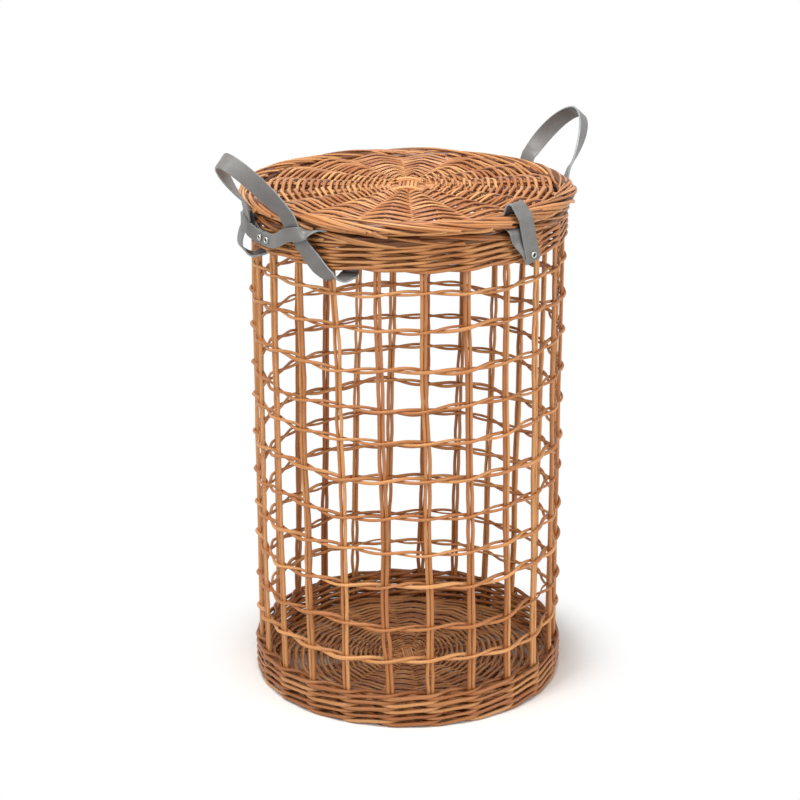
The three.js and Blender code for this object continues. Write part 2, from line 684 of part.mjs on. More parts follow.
function makeKeeper() {
  const [left] = handles;
  const [backLeg, frontLeg] = left.legs;
  const low = topBandBottom + keeperRise;
  const high = topBandBottom + keeperGripRise;
  const crossing = low + keeperCrossing;
  const held = legPlaceAt(left, backLeg, high);
  const passed = legPlaceAt(left, frontLeg, crossing);
  const under = bandOuterRadius + clearance + strapThickness / 2;
  const lapped = under + strapThickness + clearance;
  const passing = strapThickness + clearance + keeperSlack;
  const over = legPlaceAt(left, backLeg, high + keeperWidth / 2).radius + passing;
  const outer = legPlaceAt(left, frontLeg, crossing + keeperWidth / 2).radius + passing;
  const onRim = (rimTop + borderHeight - borderRadius) / 2;
  const rimMiddle = bandOuterRadius - keeperWidth / 2;
  const grip = keeperGrip;
  const a = held.azimuth;
  const b = passed.azimuth;
  // Places along the keeper: azimuth, radius, height and the degrees by which the strap is turned flat
  const route = [
    [a + keeperLap, under, low, 0],
    [a + keeperRivets[1] - 2, under, low, 0],
    [a + keeperRivets[0] - 2, under, low, 0],
    [a + 0.7 * grip, under, (low + high) / 2, 0],
    [a, under, high, 0],
    [a - 0.7 * grip, under + 2 * clearance, high, 0],
    [a - grip, (under + over) / 2, high, 0],
    [a - 0.7 * grip, over, high, 0],
    [a, over, high, 0],
    [a + grip, over - 0.5 * keeperSlack, (low + high) / 2, 0],
    [a + keeperRivets[0] - 2, lapped, low, 0],
    [a + keeperRivets[1] - 2, lapped, low, 0],
    [a + keeperLap, lapped, low, 0],
    [(a + keeperLap + b) / 2, lapped + 1.5, (low + crossing) / 2, 0],
    [b - 4, outer, crossing - 1, 0],
    [b + 3, outer, crossing + 1, 0],
    [b + 0.65 * keeperTuck, outer - 3, onRim - 2, 75],
    [b + keeperTuck, rimMiddle + 7, onRim, 90],
    [b + keeperTuck + keeperTail, rimMiddle, onRim, 90],
  ];
  const places = new THREE.CatmullRomCurve3(route.map(([azimuth, radius, z]) => polar(radius, azimuth, z)));
  const points = Array.from({ length: keeperSteps + 1 }, (_, i) => places.getPoint(i / keeperSteps));
  const stations = points.map((point, i) => {
    const along = ((route.length - 1) * i) / keeperSteps;
    const k = Math.min(Math.floor(along), route.length - 2);
    const flat = THREE.MathUtils.lerp(route[k][3], route[k + 1][3], along - k) * degrees;
    const inward = point.clone().setZ(0).normalize().negate();
    const across = inward.multiplyScalar(Math.sin(flat)).addScaledVector(up, Math.cos(flat));
    const travel = places.getTangent(i / keeperSteps);
    return { point, across: across.addScaledVector(travel, -across.dot(travel)).normalize() };
  });
  const rivets = keeperRivets.map((offset) => ({
    point: polar(lapped + strapThickness / 2, a + offset, low),
    direction: outwardAt(a + offset),
  }));
  const holes = rivets.map(({ point, direction }) => rivetHole(point, direction, 2));
  return [
    pieceOf(cutFrom(strap(stations, keeperWidth), holes), "keeper_strap", leather),
    ...rivets.map(({ point, direction }, i) => rivetAt(`keeper_rivet_${i + 1}`, point, direction, 2)),
  ];
}

// The hamper
const hamper = new THREE.Group();
const basket = new THREE.Group();
const lid = new THREE.Group();
const slots = stakeSlots();
basket.add(...makeStakes(), ...makeRows(slots), ...makeBands(slots));
basket.add(...wovenDisc("base", bandInnerRadius - clearance, 0, baseThickness, baseCrown, []));
basket.add(...makeKeeper());

const lidBorderProfile = Array.from({ length: lidBorderSides }, (_, i) => {
  const turn = (2 * Math.PI * i) / lidBorderSides;
  return [borderRingRadius + borderRadius * Math.cos(turn), borderHeight + borderRadius * Math.sin(turn)];
});
const lidBottom = borderHeight - lidWeaveDrop - lidWeaveThickness / 2;
lid.add(pieceOf(turnedRing(lidBorderProfile), "lid_border", willow));
lid.add(...wovenDisc("lid", lidWeaveRadius, lidBottom, lidWeaveThickness, lidCrown, lidNotches()));
lid.add(...makePullTab());

for (const [side, x] of [["left", -hingeStrapOffset], ["right", hingeStrapOffset]]) {
  const { leaf, rivet, onLid } = makeHinge(side, x);
  basket.add(leaf, rivet);
  lid.add(onLid);
}
hamper.add(basket, lid);
for (const handle of handles) {
  hamper.add(makeHandleLoop(handle));
  basket.add(...makeHandleLegs(handle));
}

export default hamper;
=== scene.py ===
"""Looks of a round willow laundry hamper with a hinged woven lid and grey leather straps.

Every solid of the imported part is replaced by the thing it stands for: rods, twined strands, rolled borders
and ribbons of leather, each a surface swept along a path. Metres, +Z up, the hamper's axis on Z.
"""

import logging
import math
from dataclasses import dataclass, field
from enum import Enum

import bpy
import numpy as np
from numpy.typing import NDArray
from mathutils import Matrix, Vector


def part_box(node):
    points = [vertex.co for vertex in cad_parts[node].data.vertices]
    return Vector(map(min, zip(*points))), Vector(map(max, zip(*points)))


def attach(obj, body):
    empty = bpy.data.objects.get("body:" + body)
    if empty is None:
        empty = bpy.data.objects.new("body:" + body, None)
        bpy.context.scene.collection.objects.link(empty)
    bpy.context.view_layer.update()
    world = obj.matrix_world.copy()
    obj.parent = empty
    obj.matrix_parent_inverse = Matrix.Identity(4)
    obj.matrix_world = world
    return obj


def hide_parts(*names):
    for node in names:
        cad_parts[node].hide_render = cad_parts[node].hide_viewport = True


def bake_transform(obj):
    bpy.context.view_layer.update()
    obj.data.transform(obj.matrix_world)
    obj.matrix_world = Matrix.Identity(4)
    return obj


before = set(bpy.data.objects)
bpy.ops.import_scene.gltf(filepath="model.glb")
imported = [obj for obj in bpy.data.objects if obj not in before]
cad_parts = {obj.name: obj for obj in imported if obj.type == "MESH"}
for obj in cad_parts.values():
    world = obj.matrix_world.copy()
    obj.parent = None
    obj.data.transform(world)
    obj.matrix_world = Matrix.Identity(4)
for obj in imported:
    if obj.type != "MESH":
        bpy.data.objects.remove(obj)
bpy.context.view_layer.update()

log = logging.getLogger("hamper")
Array = NDArray[np.float64]
Number = Array | float
Rng = np.random.Generator
UP = np.array([0.0, 0.0, 1.0])
LEVEL = np.array([1.0, 1.0, 0.0])
TURN = 2.0 * math.pi
QUARTER = math.pi / 2.0

# Texture map of every sweep: metres along the path, and share of the way round the section.
MAP_NAME = "length_and_turn"
# Colour sockets of a Mix node: its two colours and its result.
MIX_A, MIX_B, MIX_OUT = 6, 7, 2


class Body(Enum):
    """The moving bodies of the part."""

    BASKET = "basket"
    LID = "lid"
    TAB = "pull_tab"
    LEFT = "handle_left"
    RIGHT = "handle_right"


class Slot(Enum):
    """The record's material slots."""

    WILLOW = "willow"
    LEATHER = "leather"
    NICKEL = "nickel"


Finishes = dict[Slot, bpy.types.Material]


# Small geometry


def outward(azimuth: Number) -> Array:
    """Level unit vectors away from the axis: the cosine along X and the sine along Y.

    Args:
        azimuth: Angles in radians, any shape.

    Returns:
        Vectors, with one more axis of three.
    """
    azimuth = np.asarray(azimuth, float)
    return np.stack([np.cos(azimuth), np.sin(azimuth), np.zeros_like(azimuth)], -1)


def polar(radius: Number, azimuth: Number, height: Number) -> Array:
    """Points: radius times the outward vector at the azimuth, plus height times up."""
    radius, azimuth, height = np.broadcast_arrays(radius, azimuth, height)
    return radius[..., None] * outward(azimuth) + height[..., None] * UP


def unit(vectors: Array) -> Array:
    """The vectors at length one."""
    return vectors / np.maximum(np.linalg.norm(vectors, axis=-1, keepdims=True), 1e-12)


def off_axis(points: Array) -> Array:
    """Level unit vectors from the axis towards the points."""
    return unit(points * LEVEL)


def smooth(share: Number) -> Array:
    """Eases from 0 to 1: three times the square less twice the cube, level at both ends."""
    share = np.clip(share, 0.0, 1.0)
    return share * share * (3.0 - 2.0 * share)


def lengths(points: Array) -> Array:
    """Way along a row of points to each of them: the running sum of the steps."""
    return np.concatenate([[0.0], np.cumsum(np.linalg.norm(np.diff(points, axis=0), axis=1))])


def wander(rng: Rng, turn: Array, amount: float, waves: int) -> Array:
    """A hand-made drift that closes on itself: a sum of sines of whole multiples of the turn.

    Args:
        rng: Seeded source of the sines' sizes and phases.
        turn: Angles in radians.
        amount: Typical size of the drift.
        waves: Number of sines.

    Returns:
        The drift at each angle.
    """
    order = np.arange(1, waves + 1)
    size = rng.normal(size=waves) * math.sqrt(2.0 / waves)
    phase = rng.uniform(0.0, TURN, waves)
    return amount * (size * np.sin(np.asarray(turn)[..., None] * order + phase)).sum(-1)


def curve_through(places: Array, count: int, fineness: int = 40) -> Array:
    """A smooth curve through places, evenly spaced along its length.

    Between two places it is the cubic whose slopes at the ends are half the step between the places on
    either side.

    Args:
        places: Points in order, of any dimension.
        count: Number of points wanted.
        fineness: Points for each place while the curve's length is measured.

    Returns:
        Points along the curve.
    """
    places = np.asarray(places, float)
    fine = np.linspace(0.0, len(places) - 1.0, fineness * len(places))
    left = np.minimum(fine.astype(int), len(places) - 2)
    part = (fine - left)[:, None]
    slopes = np.gradient(places, axis=0)
    start, end = places[left], places[left + 1]
    rise, fall = slopes[left], slopes[left + 1]
    cubic = 2.0 * (start - end) + rise + fall
    square = 3.0 * (end - start) - 2.0 * rise - fall
    points = ((cubic * part + square) * part + rise) * part + start
    length = lengths(points)
    wanted = np.linspace(0.0, length[-1], count)
    return np.stack([np.interp(wanted, length, column) for column in points.T], -1)


# Meshes


@dataclass
class SweptMesh:
    """Sweeps gathered into one mesh, with a texture map and attributes for the finish and its painted shade.

    Attributes:
        points: Vertex positions, one array for each sweep.
        faces: Vertex numbers of the faces, one array for each group of equal faces.
        maps: Texture places of the face corners, in the order of faces.
        marks: Vertex attributes by name, one array for each sweep.
        rod_corners: Corners of a rod's section.
        full_facing: Share of a full facing to the open sides at which the painted shade on a rod's side ends.
        sharp: Least angle of a sharp edge in degrees.
    """

    points: list[Array] = field(default_factory=list)
    faces: list[NDArray[np.int64]] = field(default_factory=list)
    maps: list[Array] = field(default_factory=list)
    marks: dict[str, list[Array]] = field(default_factory=dict)
    rod_corners: int = 8
    full_facing: float = 0.92
    sharp: float = 55.0

    @staticmethod
    def directions(path: Array, across: Array, closed: bool) -> tuple[Array, Array]:
        """Directions of a section's axes: across less its share along the path, and square to both.

        Args:
            path: Points of each rod, in an array of rods, stops and three.
            across: Rough direction of the first axis, in an array that spreads to the path's shape.
            closed: True if each path runs into its own start.

        Returns:
            Unit vectors along the first axis and along the second, at each point.
        """
        if closed:
            travel = unit(np.roll(path, -1, 1) - np.roll(path, 1, 1))
        else:
            travel = unit(np.gradient(path, axis=1))
        across = np.broadcast_to(across, path.shape)
        side = unit(across - (across * travel).sum(-1, keepdims=True) * travel)
        return side, np.cross(travel, side)

    def sweep(
        self, path: Array, across: Array, section: Array, closed: bool = False, **marks: Array
    ) -> None:
        """Carries a section along each path.

        A vertex is its path point, plus the section's first number times the across direction squared up to
        the path, plus its second number times the direction square to both.

        Args:
            path: Points of each rod, in an array of rods, stops and three.
            across: Direction of the section's first axis, in the same shape or one that spreads to it.
            section: Offsets in metres, in an array that spreads to rods, stops, corners and two.
            closed: True if each path runs into its own start.
            marks: Attributes of the vertices, in arrays that spread to rods, stops and corners.
        """
        rods, stops, _ = path.shape
        corners = section.shape[-2]
        side, face = (axis[:, :, None] for axis in self.directions(path, across, closed))
        section = np.broadcast_to(section, (rods, stops, corners, 2))
        points = path[:, :, None] + section[..., :1] * side + section[..., 1:] * face

        first = sum(len(group) for group in self.points)
        number = first + np.arange(rods * stops * corners).reshape(rods, stops, corners)
        step = np.linalg.norm(np.diff(path, axis=1, append=path[:, :1]), axis=-1)
        along = np.concatenate([np.zeros((rods, 1)), np.cumsum(step, 1)], 1)
        around = np.arange(corners + 1) / corners
        here, ahead = (number, np.roll(number, -1, 1)) if closed else (number[:, :-1], number[:, 1:])
        spans = here.shape[1]
        quads = np.stack([here, np.roll(here, -1, 2), np.roll(ahead, -1, 2), ahead], -1)
        low, high = (np.broadcast_to(along[:, i : spans + i, None], here.shape) for i in (0, 1))
        left, right = (np.broadcast_to(around[i : corners + i], here.shape) for i in (0, 1))
        places = np.stack([low, left, low, right, high, right, high, left], -1)
        self.points.append(points.reshape(-1, 3))
        self.faces.append(quads.reshape(-1, 4))
        self.maps.append(places.reshape(-1, 2))
        if not closed:
            ends = np.concatenate([number[:, 0, ::-1], number[:, -1]])
            reached = np.concatenate([along[:, 0], along[:, stops - 1]])
            self.faces.append(ends)
            self.maps.append(np.stack([np.repeat(reached, corners), np.full(ends.size, 0.5)], -1))
        for name, values in marks.items():
            spread = np.broadcast_to(values, (rods, stops, corners))
            self.marks.setdefault(name, []).append(spread.reshape(-1))

    def rods(
        self,
        path: Array,
        across: Array,
        thick: Number,
        rng: Rng,
        deep: Number | None = None,
        open_to: Array | None = None,
        closed: bool = False,
    ) -> None:
        """Sweeps rods of an oval section: half the thickness times the cosine, half the depth times the sine.

        A rod that lies among others gets painted shade where it faces away from the open sides.

        Args:
            path: Points of each rod, in an array of rods, stops and three.
            across: A direction square to the rods, roughly.
            thick: Thickness across in metres, in an array that spreads to rods and stops.
            rng: Seeded source of each rod's own tone.
            deep: Thickness square to across, or None if it is the same.
            open_to: Direction of the open sides of rods among others, as long as the painted shade is strong.
            closed: True if each path runs into its own start.
        """
        open_to = np.broadcast_to(np.zeros(3) if open_to is None else open_to, path.shape)
        turn = np.linspace(0.0, TURN, self.rod_corners, endpoint=False)
        side, face = ((axis * open_to).sum(-1)[..., None] for axis in self.directions(path, across, closed))
        facing = side * np.cos(turn) + face * np.sin(turn)
        among = np.linalg.norm(open_to, axis=-1)[..., None]
        # Painted shade: how dark a vertex is painted where the rod faces away from its open sides.
        hollow = among * smooth(1.0 - np.abs(facing) / self.full_facing)
        sizes = (thick, thick if deep is None else deep)
        wide, tall = (np.broadcast_to(np.asarray(s, float) / 2.0, path.shape[:2])[..., None] for s in sizes)
        section = np.stack([wide * np.cos(turn), tall * np.sin(turn)], -1)
        tone = rng.uniform(0.0, 1.0, len(path))[:, None, None]
        self.sweep(path, across, section, closed, tone=tone, hollow=hollow)

    def mesh(self, name: str) -> bpy.types.Mesh:
        """Puts the sweeps into one Blender mesh.

        Args:
            name: Name of the mesh.

        Returns:
            The mesh, shaded smooth, with sharp cut ends.
        """
        made = bpy.data.meshes.new(name)
        points = np.concatenate(self.points)
        corners = np.concatenate([group.reshape(-1) for group in self.faces])
        counts = np.concatenate([np.full(len(group), group.shape[1]) for group in self.faces])
        made.vertices.add(len(points))
        made.vertices.foreach_set("co", points.astype(np.float32).reshape(-1))
        made.loops.add(len(corners))
        made.loops.foreach_set("vertex_index", corners.astype(np.int32))
        made.polygons.add(len(counts))
        made.polygons.foreach_set("loop_start", (np.cumsum(counts) - counts).astype(np.int32))
        made.update(calc_edges=True)
        places = made.uv_layers.new(name=MAP_NAME)
        places.uv.foreach_set("vector", np.concatenate(self.maps).astype(np.float32).reshape(-1))
        for mark, groups in self.marks.items():
            attribute = made.attributes.new(mark, "FLOAT", "POINT")
            attribute.data.foreach_set("value", np.concatenate(groups).astype(np.float32))
        made.validate()
        made.shade_smooth()
        made.set_sharp_from_angle(angle=math.radians(self.sharp))
        return made


def place_piece(swept: SweptMesh, slot: Slot, finishes: Finishes, *nodes: str) -> bpy.types.Object:
    """Makes a piece of the hamper from sweeps that are already in their place.

    Args:
        swept: Its sweeps, in the part's frame.
        slot: The record's slot that its finish belongs to.
        finishes: Materials.
        nodes: CAD nodes that the piece stands for. The first one gives it its name.

    Returns:
        The piece, not yet riding on a body.
    """
    mesh = swept.mesh(nodes[0])
    piece = bpy.data.objects.new(f"{slot.value}_{nodes[0]}", mesh)
    bpy.context.scene.collection.objects.link(piece)
    mesh.materials.append(finishes[slot])
    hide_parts(*nodes)
    log.info("%s: %d faces for %s", piece.name, len(mesh.polygons), ", ".join(nodes))
    return piece


def place_rigid(swept: SweptMesh, slot: Slot, finishes: Finishes, node: str, body: Body) -> None:
    """Makes a piece that stands for one CAD node and rides on one body."""
    piece = place_piece(swept, slot, finishes, node)
    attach(piece, body.value)


# Finishes


def linear(code: str) -> tuple[float, float, float, float]:
    """Turns an sRGB colour to linear by the sRGB curve: a short straight start, then the 2.4 power.

    Args:
        code: Hex colour.

    Returns:
        Red, green, blue and a full alpha.
    """
    parts = [int(code[i : i + 2], 16) / 255.0 for i in (1, 3, 5)]
    red, green, blue = (p / 12.92 if p <= 0.04045 else ((p + 0.055) / 1.055) ** 2.4 for p in parts)
    return (red, green, blue, 1.0)


def add(
    tree: bpy.types.NodeTree, kind: str, inputs: dict[str | int, object], **settings: object
) -> bpy.types.Node:
    """Adds a node.

    Args:
        tree: Tree that gets it.
        kind: Its Blender type, after the word ShaderNode.
        inputs: Value of each socket, or the output that is linked to it.
        settings: The node's own properties.

    Returns:
        The node.
    """
    made = tree.nodes.new(f"ShaderNode{kind}")
    for name, value in settings.items():
        setattr(made, name, value)
    for key, value in inputs.items():
        if isinstance(value, bpy.types.NodeSocket):
            tree.links.new(value, made.inputs[key])
        else:
            made.inputs[key].default_value = value
    return made


def new_material(name: str) -> tuple[bpy.types.Material, bpy.types.NodeTree]:
    """Makes an empty node material.

    Args:
        name: Name of the material.

    Returns:
        The material and its tree.
    """
    material = bpy.data.materials.new(name)
    material.use_nodes = True
    material.node_tree.nodes.clear()
    return material, material.node_tree


@dataclass(frozen=True)
class LacqueredWillow:
    """Peeled willow rods, boiled to a warm tan and lacquered.

    The eye gets rods of slightly different tans, streaks along each rod, a few dark bud scars, a satin glint
    along the rod's crown, and painted shade between rods that lie close.

    Attributes:
        name: Name of the material.
        pale: Palest rod.
        warm: Darkest rod.
        streak: Colour of the streaks.
        scar: Colour of the bud scars.
        painted_shade: Colour of the painted shade between the rods.
        streak_size: Length of a streak in metres, and streaks round a rod.
        scar_size: Distance between bud scars along a rod in metres, and scars round it.
        grain_size: Length of the grain in metres, and its ridges round a rod.
        grain_depth: Depth of the grain in metres.
        rod_step: Step in the patterns from the palest rod to the darkest, so that no two rods are alike.
        streak_share: Noise where a streak starts and where it is full, and its share of the colour there.
        scar_share: Distance where a scar is full and where it ends, and its share of the colour.
        painted_shade_share: Greatest share of the painted shade.
        roughness: Roughness of the lacquer off the streaks and on them.
    """

    name: str = "lacquered_willow"
    pale: str = "#D79C62"
    warm: str = "#A86737"
    streak: str = "#80451F"
    scar: str = "#4A2814"
    painted_shade: str = "#451C08"
    streak_size: tuple[float, float] = (0.045, 5.0)
    scar_size: tuple[float, float] = (0.085, 1.0)
    grain_size: tuple[float, float] = (0.012, 9.0)
    grain_depth: float = 0.0006
    rod_step: float = 61.0
    streak_share: tuple[float, float, float] = (0.5, 0.78, 0.55)
    scar_share: tuple[float, float, float] = (0.02, 0.07, 0.8)
    painted_shade_share: float = 0.86
    roughness: tuple[float, float] = (0.32, 0.54)

    def material(self) -> bpy.types.Material:
        """Builds the node material, whose patterns lie along each rod's length and round it.

        Returns:
            The material.
        """
        material, tree = new_material(self.name)
        place = add(tree, "UVMap", {}, uv_map=MAP_NAME)
        marks = (add(tree, "Attribute", {}, attribute_name=mark) for mark in ("tone", "hollow"))
        tone, hollow = (mark.outputs["Fac"] for mark in marks)
        split = add(tree, "SeparateXYZ", {0: place.outputs["UV"]}).outputs
        own = add(tree, "Math", {0: tone, 1: self.rod_step}, operation="MULTIPLY")
        spot = add(tree, "CombineXYZ", {"X": split["X"], "Y": split["Y"], "Z": own.outputs[0]})
        spots = []
        for length, turns in (self.streak_size, self.scar_size, self.grain_size):
            scale = (1.0 / length, turns, 1.0)
            spots.append(add(tree, "Mapping", {"Vector": spot.outputs[0], "Scale": scale}).outputs[0])
        streaks = add(tree, "TexNoise", {"Vector": spots[0], "Scale": 1.0, "Detail": 3.0, "Roughness": 0.6})
        scars = add(tree, "TexVoronoi", {"Vector": spots[1], "Scale": 1.0}, feature="F1")
        grain = add(tree, "TexNoise", {"Vector": spots[2], "Scale": 1.0, "Detail": 2.0})

        start, full, most = self.streak_share
        limits = {"From Min": start, "From Max": full, "To Max": most}
        streaked = add(tree, "MapRange", {"Value": streaks.outputs["Fac"], **limits})
        full, end, most = self.scar_share
        limits = {"From Min": full, "From Max": end, "To Min": most, "To Max": 0.0}
        scarred = add(tree, "MapRange", {"Value": scars.outputs["Distance"], **limits})
        # Painted shade: a dark brown mixed in where the crevice mask says the rods lie close.
        painted_shade_mix = add(tree, "Math", {0: hollow, 1: self.painted_shade_share}, operation="MULTIPLY")
        shares = (tone, streaked.outputs[0], scarred.outputs[0], painted_shade_mix.outputs[0])
        colour = linear(self.pale)
        for share, code in zip(shares, (self.warm, self.streak, self.scar, self.painted_shade)):
            layer = {"Factor": share, MIX_A: colour, MIX_B: linear(code)}
            colour = add(tree, "Mix", layer, data_type="RGBA").outputs[MIX_OUT]

        limits = {"To Min": self.roughness[0], "To Max": self.roughness[1]}
        rough = add(tree, "MapRange", {"Value": streaks.outputs["Fac"], **limits})
        ridges = {"Strength": 0.35, "Distance": self.grain_depth, "Height": grain.outputs["Fac"]}
        bump = add(tree, "Bump", ridges)
        lacquer = {"IOR": 1.5, "Specular IOR Level": 0.3, "Coat Weight": 0.12, "Coat Roughness": 0.25}
        surface = {"Base Color": colour, "Roughness": rough.outputs[0], "Normal": bump.outputs[0]}
        shader = add(tree, "BsdfPrincipled", {**surface, **lacquer})
        add(tree, "OutputMaterial", {"Surface": shader.outputs[0]})
        return material


@dataclass(frozen=True)
class StrapLeather:
    """Smooth grey cowhide strap, cut from the hide with bare edges.

    The eye gets a cool mid grey with a fine grain, a soft sheen on the bends and paler fibres along the cut
    edges.

    Attributes:
        name: Name of the material.
        face: Colour of the grain side.
        mottle: Colour of its darker clouds.
        edge: Colour of the cut edges.
        grain: Size of the grain in metres. The real grain is finer and wouldn't show.
        grain_depth: Depth of the grain in metres.
        cloud: Size of the clouds in metres.
        cloud_share: Noise where a cloud starts and where it is full.
        roughness: Roughness off the clouds and on them.
    """

    name: str = "strap_leather"
    face: str = "#716F6D"
    mottle: str = "#64615E"
    edge: str = "#8C9294"
    grain: float = 0.0011
    grain_depth: float = 0.0003
    cloud: float = 0.022
    cloud_share: tuple[float, float] = (0.4, 0.75)
    roughness: tuple[float, float] = (0.32, 0.48)

    def material(self) -> bpy.types.Material:
        """Builds the node material.

        Returns:
            The material.
        """
        material, tree = new_material(self.name)
        place = add(tree, "TexCoord", {}).outputs["Object"]
        cut = add(tree, "Attribute", {}, attribute_name="edge").outputs["Fac"]
        spots = {"Vector": place, "Scale": 1.0 / self.cloud, "Detail": 4.0, "Roughness": 0.6}
        clouds = add(tree, "TexNoise", spots).outputs["Fac"]
        limits = {"From Min": self.cloud_share[0], "From Max": self.cloud_share[1]}
        clouded = add(tree, "MapRange", {"Value": clouds, **limits})
        colour = linear(self.face)
        for share, code in ((clouded.outputs[0], self.mottle), (cut, self.edge)):
            layer = {"Factor": share, MIX_A: colour, MIX_B: linear(code)}
            colour = add(tree, "Mix", layer, data_type="RGBA").outputs[MIX_OUT]
        pores = add(tree, "TexVoronoi", {"Vector": place, "Scale": 1.0 / self.grain}, feature="SMOOTH_F1")
        dents = {"Strength": 0.25, "Distance": self.grain_depth, "Height": pores.outputs["Distance"]}
        bump = add(tree, "Bump", dents)
        limits = {"To Min": self.roughness[0], "To Max": self.roughness[1]}
        rough = add(tree, "MapRange", {"Value": clouds, **limits})
        surface = {"Base Color": colour, "Roughness": rough.outputs[0], "Normal": bump.outputs[0]}
        shader = add(tree, "BsdfPrincipled", {**surface, "IOR": 1.48})
        add(tree, "OutputMaterial", {"Surface": shader.outputs[0]})
        return material


@dataclass(frozen=True)
class NickelPlate:
    """Pressed steel with bright nickel plating.

    The eye gets a bright rolled ring round a dark hole, whose darkness is painted shade, with faint marks of
    the setting tool.

    Attributes:
        name: Name of the material.
        plate: Colour of the plating.
        bore: Colour of the painted shade inside the rivet's hole.
        mark: Size of the tool's marks in metres.
        roughness: Roughness off the marks and on them.
    """

    name: str = "nickel_plate"
    plate: str = "#C9C7C2"
    bore: str = "#2B2A29"
    mark: float = 0.0012
    roughness: tuple[float, float] = (0.18, 0.36)

    def material(self) -> bpy.types.Material:
        """Builds the node material.

        Returns:
            The material.
        """
        material, tree = new_material(self.name)
        place = add(tree, "TexCoord", {}).outputs["Object"]
        depth = add(tree, "Attribute", {}, attribute_name="bore").outputs["Fac"]
        marks = add(tree, "TexNoise", {"Vector": place, "Scale": 1.0 / self.mark, "Detail": 2.0})
        # Painted shade: the dark colour inside the rivet's hole, mixed in by the hole's mask.
        layer = {"Factor": depth, MIX_A: linear(self.plate), MIX_B: linear(self.bore)}
        colour = add(tree, "Mix", layer, data_type="RGBA").outputs[MIX_OUT]
        limits = {"To Min": self.roughness[0], "To Max": self.roughness[1]}
        rough = add(tree, "MapRange", {"Value": marks.outputs["Fac"], **limits})
        surface = {"Base Color": colour, "Roughness": rough.outputs[0], "Metallic": 1.0}
        shader = add(tree, "BsdfPrincipled", surface)
        add(tree, "OutputMaterial", {"Surface": shader.outputs[0]})
        return material


# Woven pieces


